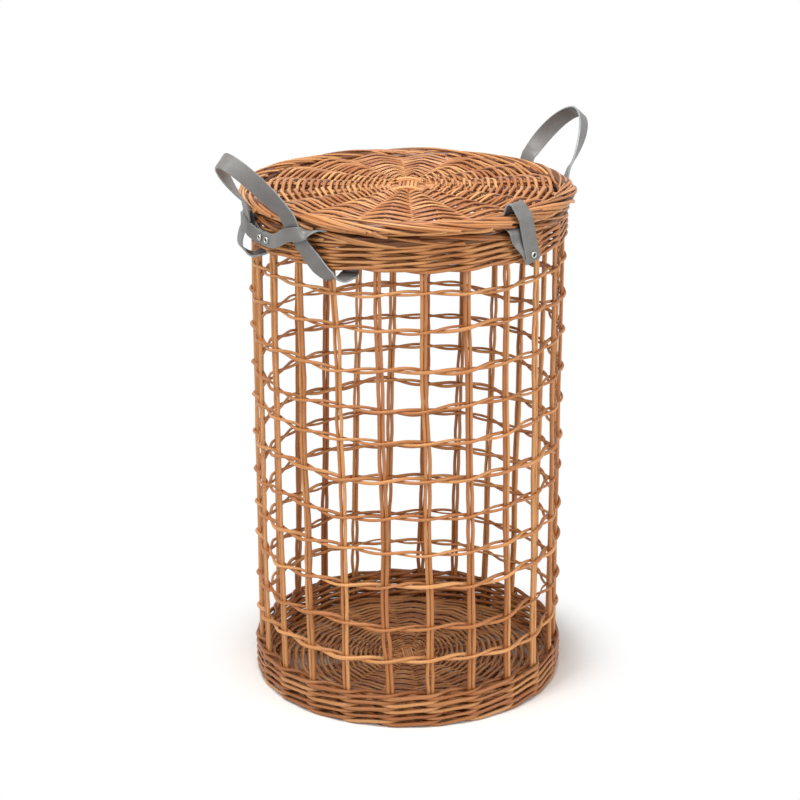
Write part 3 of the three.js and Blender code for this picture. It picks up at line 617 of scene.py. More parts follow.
@dataclass
class StakeWall:
    """The openwork wall: pairs of upright stakes, held by rows of two strands twined round them.

    Attributes:
        finishes: Materials.
        count: Number of stake pairs.
        radius: Circle through the pairs' middles.
        first: Azimuth of the first pair in degrees.
        lean: Sideways drift of a stake's top against its foot.
        crowding: Degrees by which the pairs are drawn towards the back.
        widest: Azimuth in degrees where the pairs stand widest apart.
        bottom: Lower end of the stakes.
        top: Upper end of the stakes.
        rod: Diameter of a stake's rod at its foot.
        rod_spread: Least and greatest thickness of a rod, as shares.
        rod_taper: Share of the thickness at the foot, and what it loses up to the top.
        pair_press: Distance of a pair's rods, as a share of their thickness.
        pair_gap: Mean and spread of the gap that opens in a pair between two rows, and the widest one.
        crook: Sideways drift of a pair.
        bow: Outward drift of a rod.
        stake_seed: Seed of the stakes' drift.
        rows: Number of twined rows.
        strand: Diameter of a twined strand.
        strand_spread: Least and greatest thickness of a row's strands, as shares.
        strand_girth: Drift of a strand's thickness, as a share.
        strand_press: How far a strand is pressed into the stakes.
        twist: Height of the twist of a row's two strands.
        bite: How squarely a row's strand turns in behind a stake.
        waver: Drift of a row up and down.
        row_seed: Seed of the rows' drift.
    """

    finishes: Finishes
    count: int = 24
    radius: float = 0.184
    first: float = 3.25
    lean: float = 0.013
    crowding: float = 3.4
    widest: float = 243.25
    bottom: float = 0.002
    top: float = 0.5898
    rod: float = 0.0046
    rod_spread: tuple[float, float] = (0.93, 1.07)
    rod_taper: tuple[float, float] = (1.04, 0.14)
    pair_press: float = 0.98
    pair_gap: tuple[float, float, float] = (0.0006, 0.0011, 0.0032)
    crook: float = 0.0007
    bow: float = 0.0003
    stake_seed: int = 11
    rows: int = 11
    strand: float = 0.0038
    strand_spread: tuple[float, float] = (0.86, 1.16)
    strand_girth: float = 0.11
    strand_press: float = 0.0002
    twist: float = 0.0020
    bite: float = 0.6
    waver: float = 0.0018
    row_seed: int = 23

    def azimuth(self, stake: Number, height: Number) -> Array:
        """Azimuth at a stake's number, whole or between two stakes.

        The stakes are even round the wall, drawn to one side by a sine, and shifted by the lean there.

        Args:
            stake: Stake numbers from zero.
            height: Heights in metres.

        Returns:
            Azimuths in radians.
        """
        even = self.first + 360.0 / self.count * np.asarray(stake, float)
        drawn = even + self.crowding * np.sin(np.radians(even - self.widest))
        return np.radians(drawn) + np.arctan2(self.drift(height), self.radius)

    def drift(self, height: Number) -> Array:
        """Sideways drift of a stake at a height: straight from half the lean to minus half of it."""
        return -self.lean * ((np.asarray(height) - self.bottom) / (self.top - self.bottom) - 0.5)

    def row_heights(self) -> Array:
        """Middles of the twined rows, lowest first, from the CAD rows."""
        boxes = [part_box(f"fitch_row_{row + 1:02d}") for row in range(self.rows)]
        return np.array([(low.z + high.z) / 2.0 for low, high in boxes])

    def build_stakes(self) -> None:
        """Builds each pair of stakes.

        A rod's middle is beside the pair's middle by half their distance, which swells between two rows by a
        squared sine, plus a slow sideways and outward drift. The rod thins towards its top.
        """
        stops = 90
        rng = np.random.default_rng(self.stake_seed)
        height = np.linspace(self.bottom, self.top, stops)
        share = (height - self.bottom) / (self.top - self.bottom)
        foot_top, band_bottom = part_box("foot_band")[1].z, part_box("top_band")[0].z
        knots = np.concatenate([[self.bottom, foot_top], self.row_heights(), [band_bottom, self.top]])
        cell = np.clip(np.searchsorted(knots, height, "right") - 1, 0, len(knots) - 2)
        within = (height - knots[cell]) / (knots[cell + 1] - knots[cell])
        turn = math.pi * share
        mean, spread, widest = self.pair_gap
        for stake in range(self.count):
            taper = self.rod_taper[0] - self.rod_taper[1] * share
            thick = self.rod * rng.uniform(*self.rod_spread, (2, 1)) * taper
            gaps = np.clip(rng.normal(mean, spread, len(knots)), 0.0, widest)
            apart = thick.mean(0) * self.pair_press + gaps[cell] * np.sin(math.pi * within) ** 2
            beside = np.stack([-apart / 2.0, apart / 2.0]) + wander(rng, turn, self.crook, waves=7)
            azimuth = self.azimuth(stake, (self.bottom + self.top) / 2.0)
            away = self.radius + np.stack([wander(rng, turn, self.bow, waves=8) for _ in range(2)])
            along = outward(azimuth + QUARTER)
            path = away[..., None] * outward(azimuth) + (self.drift(height) + beside)[..., None] * along
            path = path + height[:, None] * UP
            swept = SweptMesh()
            swept.rods(path, outward(azimuth), thick, rng)
            place_rigid(swept, Slot.WILLOW, self.finishes, f"stake_{stake + 1:02d}", Body.BASKET)

    def strands(
        self, height: Number, strands: int, reach: float, twist: float, bite: float, steps: int
    ) -> Array:
        """Strands twined round the stakes, as a rope that the stakes pass through.

        Each strand's place in the rope turns once in as many stakes as there are strands. Its distance from
        the stake circle is the reach times minus the cosine, squared off by a hyperbolic tangent, so that a
        strand of three stays outside two stakes and goes behind the third. Its rise is the twist times minus
        the sine, so the strokes outside rise to the right.

        Args:
            height: Middle of the rope, one number or one for each step round the wall.
            strands: Number of strands.
            reach: Distance of a strand's middle from the stake circle.
            twist: Rise and fall of a strand.
            bite: How squarely a strand turns in behind a stake.
            steps: Points between two stakes.

        Returns:
            Points, in an array of strands, points and three.
        """
        stake = np.arange(self.count * steps) / steps
        turn = TURN * (stake - np.arange(strands)[:, None]) / strands
        away = np.tanh(-bite * np.cos(turn)) / math.tanh(bite)
        straight = 1.0 - (1.0 - math.cos(math.pi / self.count)) * np.sin(math.pi * stake) ** 2
        radius = self.radius * straight + reach * away
        return polar(radius, self.azimuth(stake, height), height - twist * np.sin(turn))

    def build_rows(self) -> None:
        """Builds each twined row: two strands of a rope with a hand-made wander up and down."""
        steps = 14
        rng = np.random.default_rng(self.row_seed)
        turn = TURN * np.arange(self.count * steps) / (self.count * steps)
        for row, height in enumerate(self.row_heights()):
            thick = self.strand * rng.uniform(*self.strand_spread)
            middle = height + wander(rng, turn, self.waver, waves=9)
            reach = self.rod / 2.0 + thick / 2.0 - self.strand_press
            path = self.strands(middle, 2, reach, self.twist * thick / self.strand, self.bite, steps)
            drift = np.stack([wander(rng, turn, self.strand_girth, waves=7) for _ in range(2)])
            swept = SweptMesh()
            swept.rods(path, UP, thick * (1.0 + drift), rng, closed=True)
            place_rigid(swept, Slot.WILLOW, self.finishes, f"fitch_row_{row + 1:02d}", Body.BASKET)


@dataclass
class WaledBand:
    """A band of three-strand waling, round upon round.

    Attributes:
        wall: The wall whose stakes it is woven round.
        node: CAD node that it stands for.
        rounds: Number of rounds.
        strand: Height of a strand, which is pressed flat against the stakes.
        deep: Depth of a strand.
        tuck: How far the lowest round is drawn in.
        ease: How far the strands stand off the stakes.
        shade: Strength of the painted shade in the gaps between the strands.
        seed: Seed of the hand-made drift.
        tuck_rounds: Rounds of the tuck below the band, and rounds over which it eases off.
        lap: How far one round's strands reach over the next one's.
        waver: Drift of a round up and down.
        girth: Mean of a strand's thickness and its drift, as shares.
        bite: How squarely a strand turns in behind a stake.
        strands: Strands of a round.
    """

    wall: StakeWall
    node: str
    rounds: int
    strand: float
    deep: float
    tuck: float
    ease: float
    shade: float
    seed: int
    tuck_rounds: tuple[float, float] = (0.3, 2.0)
    lap: float = 0.0006
    waver: float = 0.0005
    girth: tuple[float, float] = (0.94, 0.10)
    bite: float = 2.0
    strands: int = 3

    def build(self) -> None:
        """Builds the rounds, evenly spaced between the CAD band's edges."""
        steps = 12
        rng = np.random.default_rng(self.seed)
        low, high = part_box(self.node)
        pitch = (high.z - low.z) / self.rounds
        twist = (pitch - self.strand) / 2.0 + self.lap
        turn = TURN * np.arange(self.wall.count * steps) / (self.wall.count * steps)
        reach = (self.wall.rod + self.deep) / 2.0 + self.ease
        mean, spread = self.girth
        below, easing = self.tuck_rounds
        swept = SweptMesh()
        for number in range(self.rounds):
            height = low.z + (number + 0.5) * pitch + wander(rng, turn, self.waver, waves=14)
            path = self.wall.strands(height, self.strands, reach, twist, self.bite, steps)
            drawn = self.tuck * (1.0 - smooth((number + below) / easing))
            path = path - drawn * off_axis(path)
            path[..., 2] = np.maximum(path[..., 2], self.strand / 2.0)
            drift = np.stack([wander(rng, turn, spread, waves=11) for _ in range(self.strands)])
            girth = self.strand * (mean + drift)
            # Painted shade on the strands' sides that face away from the outside of the band.
            open_to = self.shade * off_axis(path)
            deep = self.deep * girth / self.strand
            swept.rods(path, UP, girth, rng, deep=deep, open_to=open_to, closed=True)
        place_rigid(swept, Slot.WILLOW, self.wall.finishes, self.node, Body.BASKET)


@dataclass(frozen=True)
class Lay:
    """One lay of rods in a rolled border.

    Attributes:
        rods: Number of rods.
        start: Angle on the border's section where a rod starts, in degrees from level outwards.
        end: Angle where it ends.
        length: Length of a rod round the border.
        proud: How far the lay stands off the section.
    """

    rods: int
    start: float
    end: float
    length: float
    proud: float = 0.0


@dataclass
class RolledBorder:
    """A border of rods laid down one over the next, each rolling from the inside over to the outside.

    Attributes:
        finishes: Materials.
        node: CAD node that it stands for.
        body: Body that carries it.
        ring: Radius of the circle through the border's middle.
        height: Height of that middle.
        half_width: Half the border's width.
        half_height: Half its height.
        rod: Diameter of a rod.
        lays: Its lays of rods.
        poke: How far the longest cut end stands out.
        seed: Seed of the hand-made drift.
        stagger: Shift of a rod's start, as a share of the step from rod to rod.
        length_spread: Least and greatest length of a rod, as shares.
        slide: Spread of a rod's swing round the section, in degrees.
        dip: Share of the section by which a rod's first end dips in, and share of its length that does.
        cut: Share of a rod's length that turns out to its cut end.
        bow: Least and greatest bow of a rod off the section.
        girth: Least and greatest thickness of a rod, as shares.
        taper: Share of the thickness that is lost at a rod's first end.
        core_strands: Strands of the core.
        core_turns: Turns of the core's strands in a round.
        core_reach: Distance of the core's strands from its middle, as a share of the section.
        core_size: Height and width of a core strand, as shares of half the section's.
    """

    finishes: Finishes
    node: str
    body: Body
    ring: float
    height: float
    half_width: float
    half_height: float
    rod: float
    lays: tuple[Lay, ...]
    poke: float
    seed: int
    stagger: float = 0.35
    length_spread: tuple[float, float] = (0.8, 1.2)
    slide: float = 9.0
    dip: tuple[float, float] = (0.5, 0.12)
    cut: float = 0.2
    bow: tuple[float, float] = (-0.0014, 0.0012)
    girth: tuple[float, float] = (0.78, 1.14)
    taper: float = 0.3
    core_strands: int = 4
    core_turns: float = 3.0
    core_reach: float = 0.45
    core_size: tuple[float, float] = (0.92, 0.8)

    def paths(self, rng: Rng, lay: Lay, stops: int = 40) -> tuple[Array, Array]:
        """Rods of one lay.

        A rod goes round the border at an even pace while its place on the border's oval section turns evenly
        from one angle to another. Its first end dips into the border, and its last end, where it is cut,
        stands out by the poke times the fourth power of a random share.

        Args:
            rng: Seeded source of the drift.
            lay: The lay.
            stops: Points along a rod.

        Returns:
            Paths, and the direction out of the border at each point.
        """
        share = np.linspace(0.0, 1.0, stops)
        shift = rng.uniform(-self.stagger, self.stagger, lay.rods)
        first = TURN * (np.arange(lay.rods) + shift) / lay.rods
        span = lay.length / self.ring * rng.uniform(*self.length_spread, lay.rods)
        azimuth = first[:, None] + span[:, None] * share
        slide = rng.normal(0.0, self.slide, lay.rods)[:, None] * np.sin(math.pi * share)
        angle = np.radians(lay.start + (lay.end - lay.start) * share + slide)
        depth = 1.0 - self.dip[0] * (1.0 - smooth(share / self.dip[1]))
        poke = self.poke * rng.uniform(0.0, 1.0, lay.rods)[:, None] ** 4
        cut_end = poke * smooth((share - (1.0 - self.cut)) / self.cut)
        bow = rng.uniform(*self.bow, lay.rods)[:, None] * np.sin(math.pi * share) ** 0.5
        away = lay.proud + cut_end + bow - self.rod / 2.0
        wide = self.half_width * depth + away
        tall = self.half_height * depth + away
        path = polar(self.ring + wide * np.cos(angle), azimuth, self.height + tall * np.sin(angle))
        out = np.cos(angle)[..., None] * outward(azimuth) + np.sin(angle)[..., None] * UP
        return path, out

    def build(self) -> None:
        """Builds the lays round a core of strands that wind about each other.

        The core is all among other rods, so its open side is along itself, where it has no face, and it is
        painted in shade all round.
        """
        core_stops = 240
        rng = np.random.default_rng(self.seed)
        swept = SweptMesh()
        for lay in self.lays:
            path, out = self.paths(rng, lay)
            taper = 1.0 - self.taper * np.linspace(1.0, 0.0, path.shape[1]) ** 2
            girth = self.rod * rng.uniform(*self.girth, (lay.rods, 1)) * taper
            # Painted shade on each rod's sides that face into the border.
            swept.rods(path, out, girth, rng, open_to=out)
        turn = TURN * np.arange(core_stops) / core_stops
        angle = self.core_turns * turn + TURN * np.arange(self.core_strands)[:, None] / self.core_strands
        wide = self.core_reach * self.half_width * np.cos(angle)
        tall = self.core_reach * self.half_height * np.sin(angle)
        path = polar(self.ring + wide, turn, self.height + tall)
        thick, deep = self.core_size[0] * self.half_height, self.core_size[1] * self.half_width
        # Painted shade all over the core.
        swept.rods(path, UP, thick, rng, deep=deep, open_to=outward(turn + QUARTER), closed=True)
        place_rigid(swept, Slot.WILLOW, self.finishes, self.node, self.body)


@dataclass
class WovenDisc:
    """A round of pairing weave on sixteen spokes that grow out of a cross of ten sticks.

    Attributes:
        finishes: Materials.
        stem: First word of the CAD nodes' names.
        body: Body that carries it.
        height: Middle of the weave at its edge.
        crown: Rise of the weave's middle above its edge.
        inner: Radius where the weave starts.
        outer: Radius where it ends.
        spoke_end: Radius where the spokes end.
        pitch: Distance between rounds at the middle and at the edge.
        strand: Greatest depth of a strand.
        spoke: Height of a spoke, which is two sticks side by side.
        first: Azimuth of the first spoke in degrees.
        cross: Azimuth of the cross's sticks in degrees.
        shade: Strength of the painted shade in the gaps between the strands.
        seed: Seed of the hand-made drift.
        spokes: Number of spokes.
        beat: Share by which every other round stands higher, and the half turns by which it is ahead.
        loose: Spread of a strand's drift, as a share of the pitch.
        apart: Distance of a strand from the spiral's middle, and its weave, as shares of the pitch.
        depth: Depth of a strand, as a share of the pitch.
        slim: Share of a spoke's height at the middle, and the radius over which the rest is added.
        slope: Share of a full cosine whose arcsine gives the slopes, under 1 so that they turn round softly.
        lift_drift: Drift of a strand's lift, as a share of its other drift.
        width: Mean width of a strand, what it gains on a spoke, and its drift, as shares of the pitch.
        rod_length: Length of a rod in the weave.
        rod_starts: Length of the first rod of each strand.
        spoke_start: How far the spokes reach in under the cross.
        stick: Thickness of a spoke's stick, as a share of the spoke's height.
        cross_sticks: Sticks of the cross each way.
        cross_stick: Thickness of a cross stick, as a share of spoke and strand together.
        cross_reach: Reach of the cross, as a share of the weave's start.
        cross_step: Step from stick to stick in the cross, as a share of their thickness.
        cross_rise: Rise of the upper sticks and fall of the lower ones, as a share of their thickness.
        binding: Radius, lift and thickness of each binding round, as shares of the weave's start and a stick.
        binding_power: Even power that squares the binding rounds.
    """

    finishes: Finishes
    stem: str
    body: Body
    height: float
    crown: float
    inner: float
    outer: float
    spoke_end: float
    pitch: tuple[float, float]
    strand: float
    spoke: float
    first: float
    cross: float
    shade: float
    seed: int
    spokes: int = 16
    beat: tuple[float, float] = (0.3, 0.1)
    loose: float = 0.055
    apart: tuple[float, float] = (0.2, 0.12)
    depth: float = 0.42
    slim: tuple[float, float] = (0.35, 0.08)
    slope: float = 0.94
    lift_drift: float = 0.8
    width: tuple[float, float, float] = (0.5, 0.1, 0.6)
    rod_length: float = 0.95
    rod_starts: tuple[float, float] = (0.35, 0.75)
    spoke_start: float = 0.006
    stick: float = 0.75
    cross_sticks: int = 5
    cross_stick: float = 0.46
    cross_reach: float = 0.96
    cross_step: float = 1.04
    cross_rise: float = 0.36
    binding: tuple[tuple[float, float, float], ...] = ((0.70, 0.90, 0.68), (0.87, 1.13, 0.95))
    binding_power: int = 6

    def level(self, radius: Number) -> Array:
        """Height of the weave's middle: the crown falls off with the square of the radius."""
        return self.height + self.crown * (1.0 - (np.asarray(radius) / self.outer) ** 2)

    def strands(self, steps: int = 9) -> tuple[Array, Array, Array]:
        """Two strands in one spiral.

        The pitch grows evenly with the radius, so the spiral's radius is an exponential of the turns. It is
        drawn halfway to straight between spokes. A strand's rise over and under the spokes is the arcsine of
        a cosine that turns once in two spokes, which gives it straight slopes. It keeps to its own side of
        the spiral, so that each strand lies under the other one's gaps, weaves a little by the sine, and is
        broadest where it lies on a spoke. The beat, a cosine that turns once in two rounds, makes every other
        round stand higher.

        Args:
            steps: Points between two spokes.

        Returns:
            Points in an array of strands, points and three, and the strands' width and depth at each point.
        """
        rng = np.random.default_rng(self.seed)
        growth = (self.pitch[1] - self.pitch[0]) / self.outer
        start, end = (self.pitch[0] + growth * radius for radius in (self.inner, self.outer))
        spot = np.arange(int(math.log(end / start) / growth * self.spokes * steps)) / steps
        pitch = start * np.exp(growth * spot / self.spokes)
        slice_half = math.pi / self.spokes
        straight = math.cos(slice_half) / np.cos(2.0 * slice_half * (spot % 1.0 - 0.5))
        turn = math.pi * (spot + np.arange(2)[:, None])
        crossings = np.arange(int(spot[-1]) + 2)
        drifts = [rng.normal(0.0, self.loose, len(crossings)) for _ in range(2)]
        loose = np.stack([np.interp(spot, crossings, drift) for drift in drifts])
        even = (pitch - self.pitch[0]) / growth
        apart, weave = self.apart
        side = np.array([[-apart], [apart]]) + weave * np.sin(turn)
        radius = even * (0.5 + 0.5 * straight) + pitch * (loose + side)
        deep = np.minimum(self.depth * pitch, self.strand) * (1.0 + loose)
        other = 1.0 + self.beat[0] * np.cos(math.pi * (spot / self.spokes + self.beat[1]))
        full = smooth(self.slim[0] + even / self.slim[1])
        lift = (self.spoke * full + deep) / 2.0 * (1.0 + self.lift_drift * loose) * other
        azimuth = math.radians(self.first) + 2.0 * slice_half * spot
        slope = np.arcsin(self.slope * np.cos(turn)) / math.asin(self.slope)
        path = polar(radius, azimuth, self.level(even) + lift * slope)
        mean, gain, drift = self.width
        width = pitch * (mean + gain * np.cos(turn) ** 2 + drift * loose)
        return path, width, deep

    def build_weave(self) -> None:
        """Builds the strands, in rods that each have their own tone, and the spokes' two sticks."""
        stops = 24
        rng = np.random.default_rng(self.seed + 2)
        path, width, deep = self.strands()
        # Painted shade on the strands' sides and undersides, away from the open top.
        open_to = self.shade * UP
        swept = SweptMesh()
        for number, start in enumerate(self.rod_starts):
            strand = path[number]
            length = lengths(strand)
            ends = np.searchsorted(length, np.arange(start, length[-1], self.rod_length))
            for first, last in zip([0, *ends], [*ends, len(strand) - 1]):
                rod = slice(first, last + 1)
                thick, tall = width[None, number, rod], deep[None, number, rod]
                swept.rods(strand[None, rod], strand[None, rod] * LEVEL, thick, rng, tall, open_to)
        spread = np.radians(self.first + 360.0 / self.spokes * np.arange(self.spokes))[:, None]
        away = np.linspace(self.inner - self.spoke_start, self.spoke_end, stops)[None, :]
        stick = self.stick * self.spoke
        for side in (-0.5, 0.5):
            path = polar(away, spread + side * stick / away, self.level(away))
            # Painted shade on the spokes' sides and undersides.
            swept.rods(path, UP, stick, rng, open_to=UP)
        place_rigid(swept, Slot.WILLOW, self.finishes, f"{self.stem}_weave", self.body)

    def build_cross(self) -> None:
        """Builds the cross: sticks over sticks, bound by rounds that go over the upper and under the lower.

        A binding round is a rounded square whose height is a cosine that turns twice in a round.
        """
        stops, round_stops = 9, 64
        rng = np.random.default_rng(self.seed + 1)
        swept = SweptMesh()
        top = self.level(0.0)
        stick = self.cross_stick * (self.spoke + self.strand)
        rise = self.cross_rise * stick
        reach = np.linspace(-self.inner, self.inner, stops) * self.cross_reach
        beside = (np.arange(self.cross_sticks) - (self.cross_sticks - 1) / 2.0) * stick * self.cross_step
        for quarter, raised in ((0.0, rise), (QUARTER, -rise)):
            along = outward(math.radians(self.cross) + quarter)
            over = outward(math.radians(self.cross) + quarter + QUARTER)
            path = reach[None, :, None] * along + beside[:, None, None] * over + (top + raised) * UP
            swept.rods(path, UP, stick, rng)
        turn = np.linspace(0.0, TURN, round_stops, endpoint=False)
        power = self.binding_power
        squared = (np.cos(turn) ** power + np.sin(turn) ** power) ** (-1.0 / power)
        radius, lift, thick = np.array(self.binding).T[..., None]
        height = top + stick * lift * np.cos(2.0 * turn)
        path = polar(self.inner * radius * squared, math.radians(self.cross) + turn, height)
        swept.rods(path, UP, stick * thick, rng, closed=True)
        place_rigid(swept, Slot.WILLOW, self.finishes, f"{self.stem}_cross", self.body)


# Leather and rivets


@dataclass
class Strap:
    """A flat leather strap.

    Attributes:
        width: Width of the strap.
        thick: Its thickness.
        bevel: Radius of its worn corners.
        face_share: Share of a face's width between the outermost points on it.
        face_points: Points across a face.
    """

    width: float = 0.020
    thick: float = 0.0024
    bevel: float = 0.0006
    face_share: float = 0.94
    face_points: int = 5

    def section(self) -> tuple[Array, Array]:
        """The strap's section and how far each corner belongs to the cut edge.

        The outline runs along one face, round a quarter circle, down the edge, round again, and back the
        same way.

        Returns:
            Corners, and a share from 0 on the faces to 1 on the cut edges.
        """
        half, deep, worn = self.width / 2.0, self.thick / 2.0, self.bevel
        flat = (half - worn) * self.face_share
        lower = np.stack([np.linspace(-flat, flat, self.face_points), np.full(self.face_points, -deep)], -1)
        bend = np.radians([0.0, 30.0, 60.0, 90.0])
        corner = np.stack([half - worn + worn * np.sin(bend), -(deep - worn) - worn * np.cos(bend)], -1)
        right = np.concatenate([corner, (corner * np.array([1.0, -1.0]))[::-1]])
        outline = np.concatenate([lower, right, -lower, -right])
        cut = np.array([0.0, 0.3, 0.9, 1.0])
        side = np.concatenate([np.zeros(self.face_points), cut, cut[::-1]])
        return outline, np.concatenate([side, side])

    def swept(self, path: Array, across: Array, closed: bool = False) -> SweptMesh:
        """The strap swept along one path.

        Args:
            path: Points along the strap's middle.
            across: Directions across the strap, or one for all points.
            closed: True if the path runs into its own start.

        Returns:
            The sweep.
        """
        outline, share = self.section()
        made = SweptMesh()
        made.sweep(path[None], across, outline[None, None], closed, edge=share)
        return made


@dataclass
class Rivet:
    """A tubular rivet: a rolled ring round a hole whose inside is painted dark as shade.

    Attributes:
        finishes: Materials.
        radius: Radius of the head.
        height: Height of the head.
        profile: Radius and height of each place, as shares of the head's, and how far it is painted with the
            shade inside the hole.
    """

    finishes: Finishes
    radius: float = 0.0040
    height: float = 0.0018
    profile: tuple[tuple[float, float, float], ...] = (
        (0.02, 0.05, 1.0),
        (0.46, 0.05, 1.0),
        (0.54, 0.30, 1.0),
        (0.59, 0.72, 0.6),
        (0.66, 0.94, 0.0),
        (0.76, 1.00, 0.0),
        (0.87, 0.86, 0.0),
        (0.96, 0.50, 0.0),
        (1.00, 0.15, 0.0),
        (0.97, -0.05, 0.0),
        (0.50, -0.05, 0.0),
        (0.46, -2.40, 0.0),
        (0.02, -2.40, 0.0),
    )

    def build(self, node: str, body: Body) -> None:
        """Builds a rivet where its CAD node is: the profile turned round the rivet's axis.

        Args:
            node: CAD node that it stands for.
            body: Body that carries it.
        """
        stops = 28
        low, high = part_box(node)
        middle = (np.array(low) + np.array(high)) / 2.0
        direction = np.array([0.0, 1.0, 0.0]) if node.startswith("hinge") else off_axis(middle)
        vertices = np.array([v.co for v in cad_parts[node].data.vertices])
        reach = (vertices - middle) @ direction
        foot = middle + direction * (reach.max() - self.height)
        turn = np.linspace(0.0, TURN, stops, endpoint=False)
        side = np.cross(UP, direction)
        spokes = (np.cos(turn)[:, None] * side + np.sin(turn)[:, None] * UP)[::-1]
        # The floor and inner wall of the hole are marked for painted shade.
        away, height, bore = np.array(self.profile).T
        section = np.stack([(away - 0.5) * self.radius, height * self.height], -1)
        path = foot + self.radius * 0.5 * spokes
        swept = SweptMesh()
        swept.sweep(path[None], spokes[None], section[None, None], closed=True, bore=bore)
        place_rigid(swept, Slot.NICKEL, self.finishes, node, body)


@dataclass(frozen=True)
class HandleLeg:
    """One leg of a handle.

    Attributes:
        node: CAD node that it stands for.
        side: Which end of the loop it hangs from, -1 or 1.
        stake: Stake number, with its place across the gap after that stake, where it goes in under the band.
        swing: Degrees by which the strap is turned about the upright where it folds.
        slack: How far it stands off the band.
        sway: Degrees by which its way down swings sideways at half height.
        hook: Degrees by which it turns along the wall as it goes in.
    """

    node: str
    side: int
    stake: float
    swing: float
    slack: float = 0.0
    sway: float = 0.0
    hook: float = 0.0


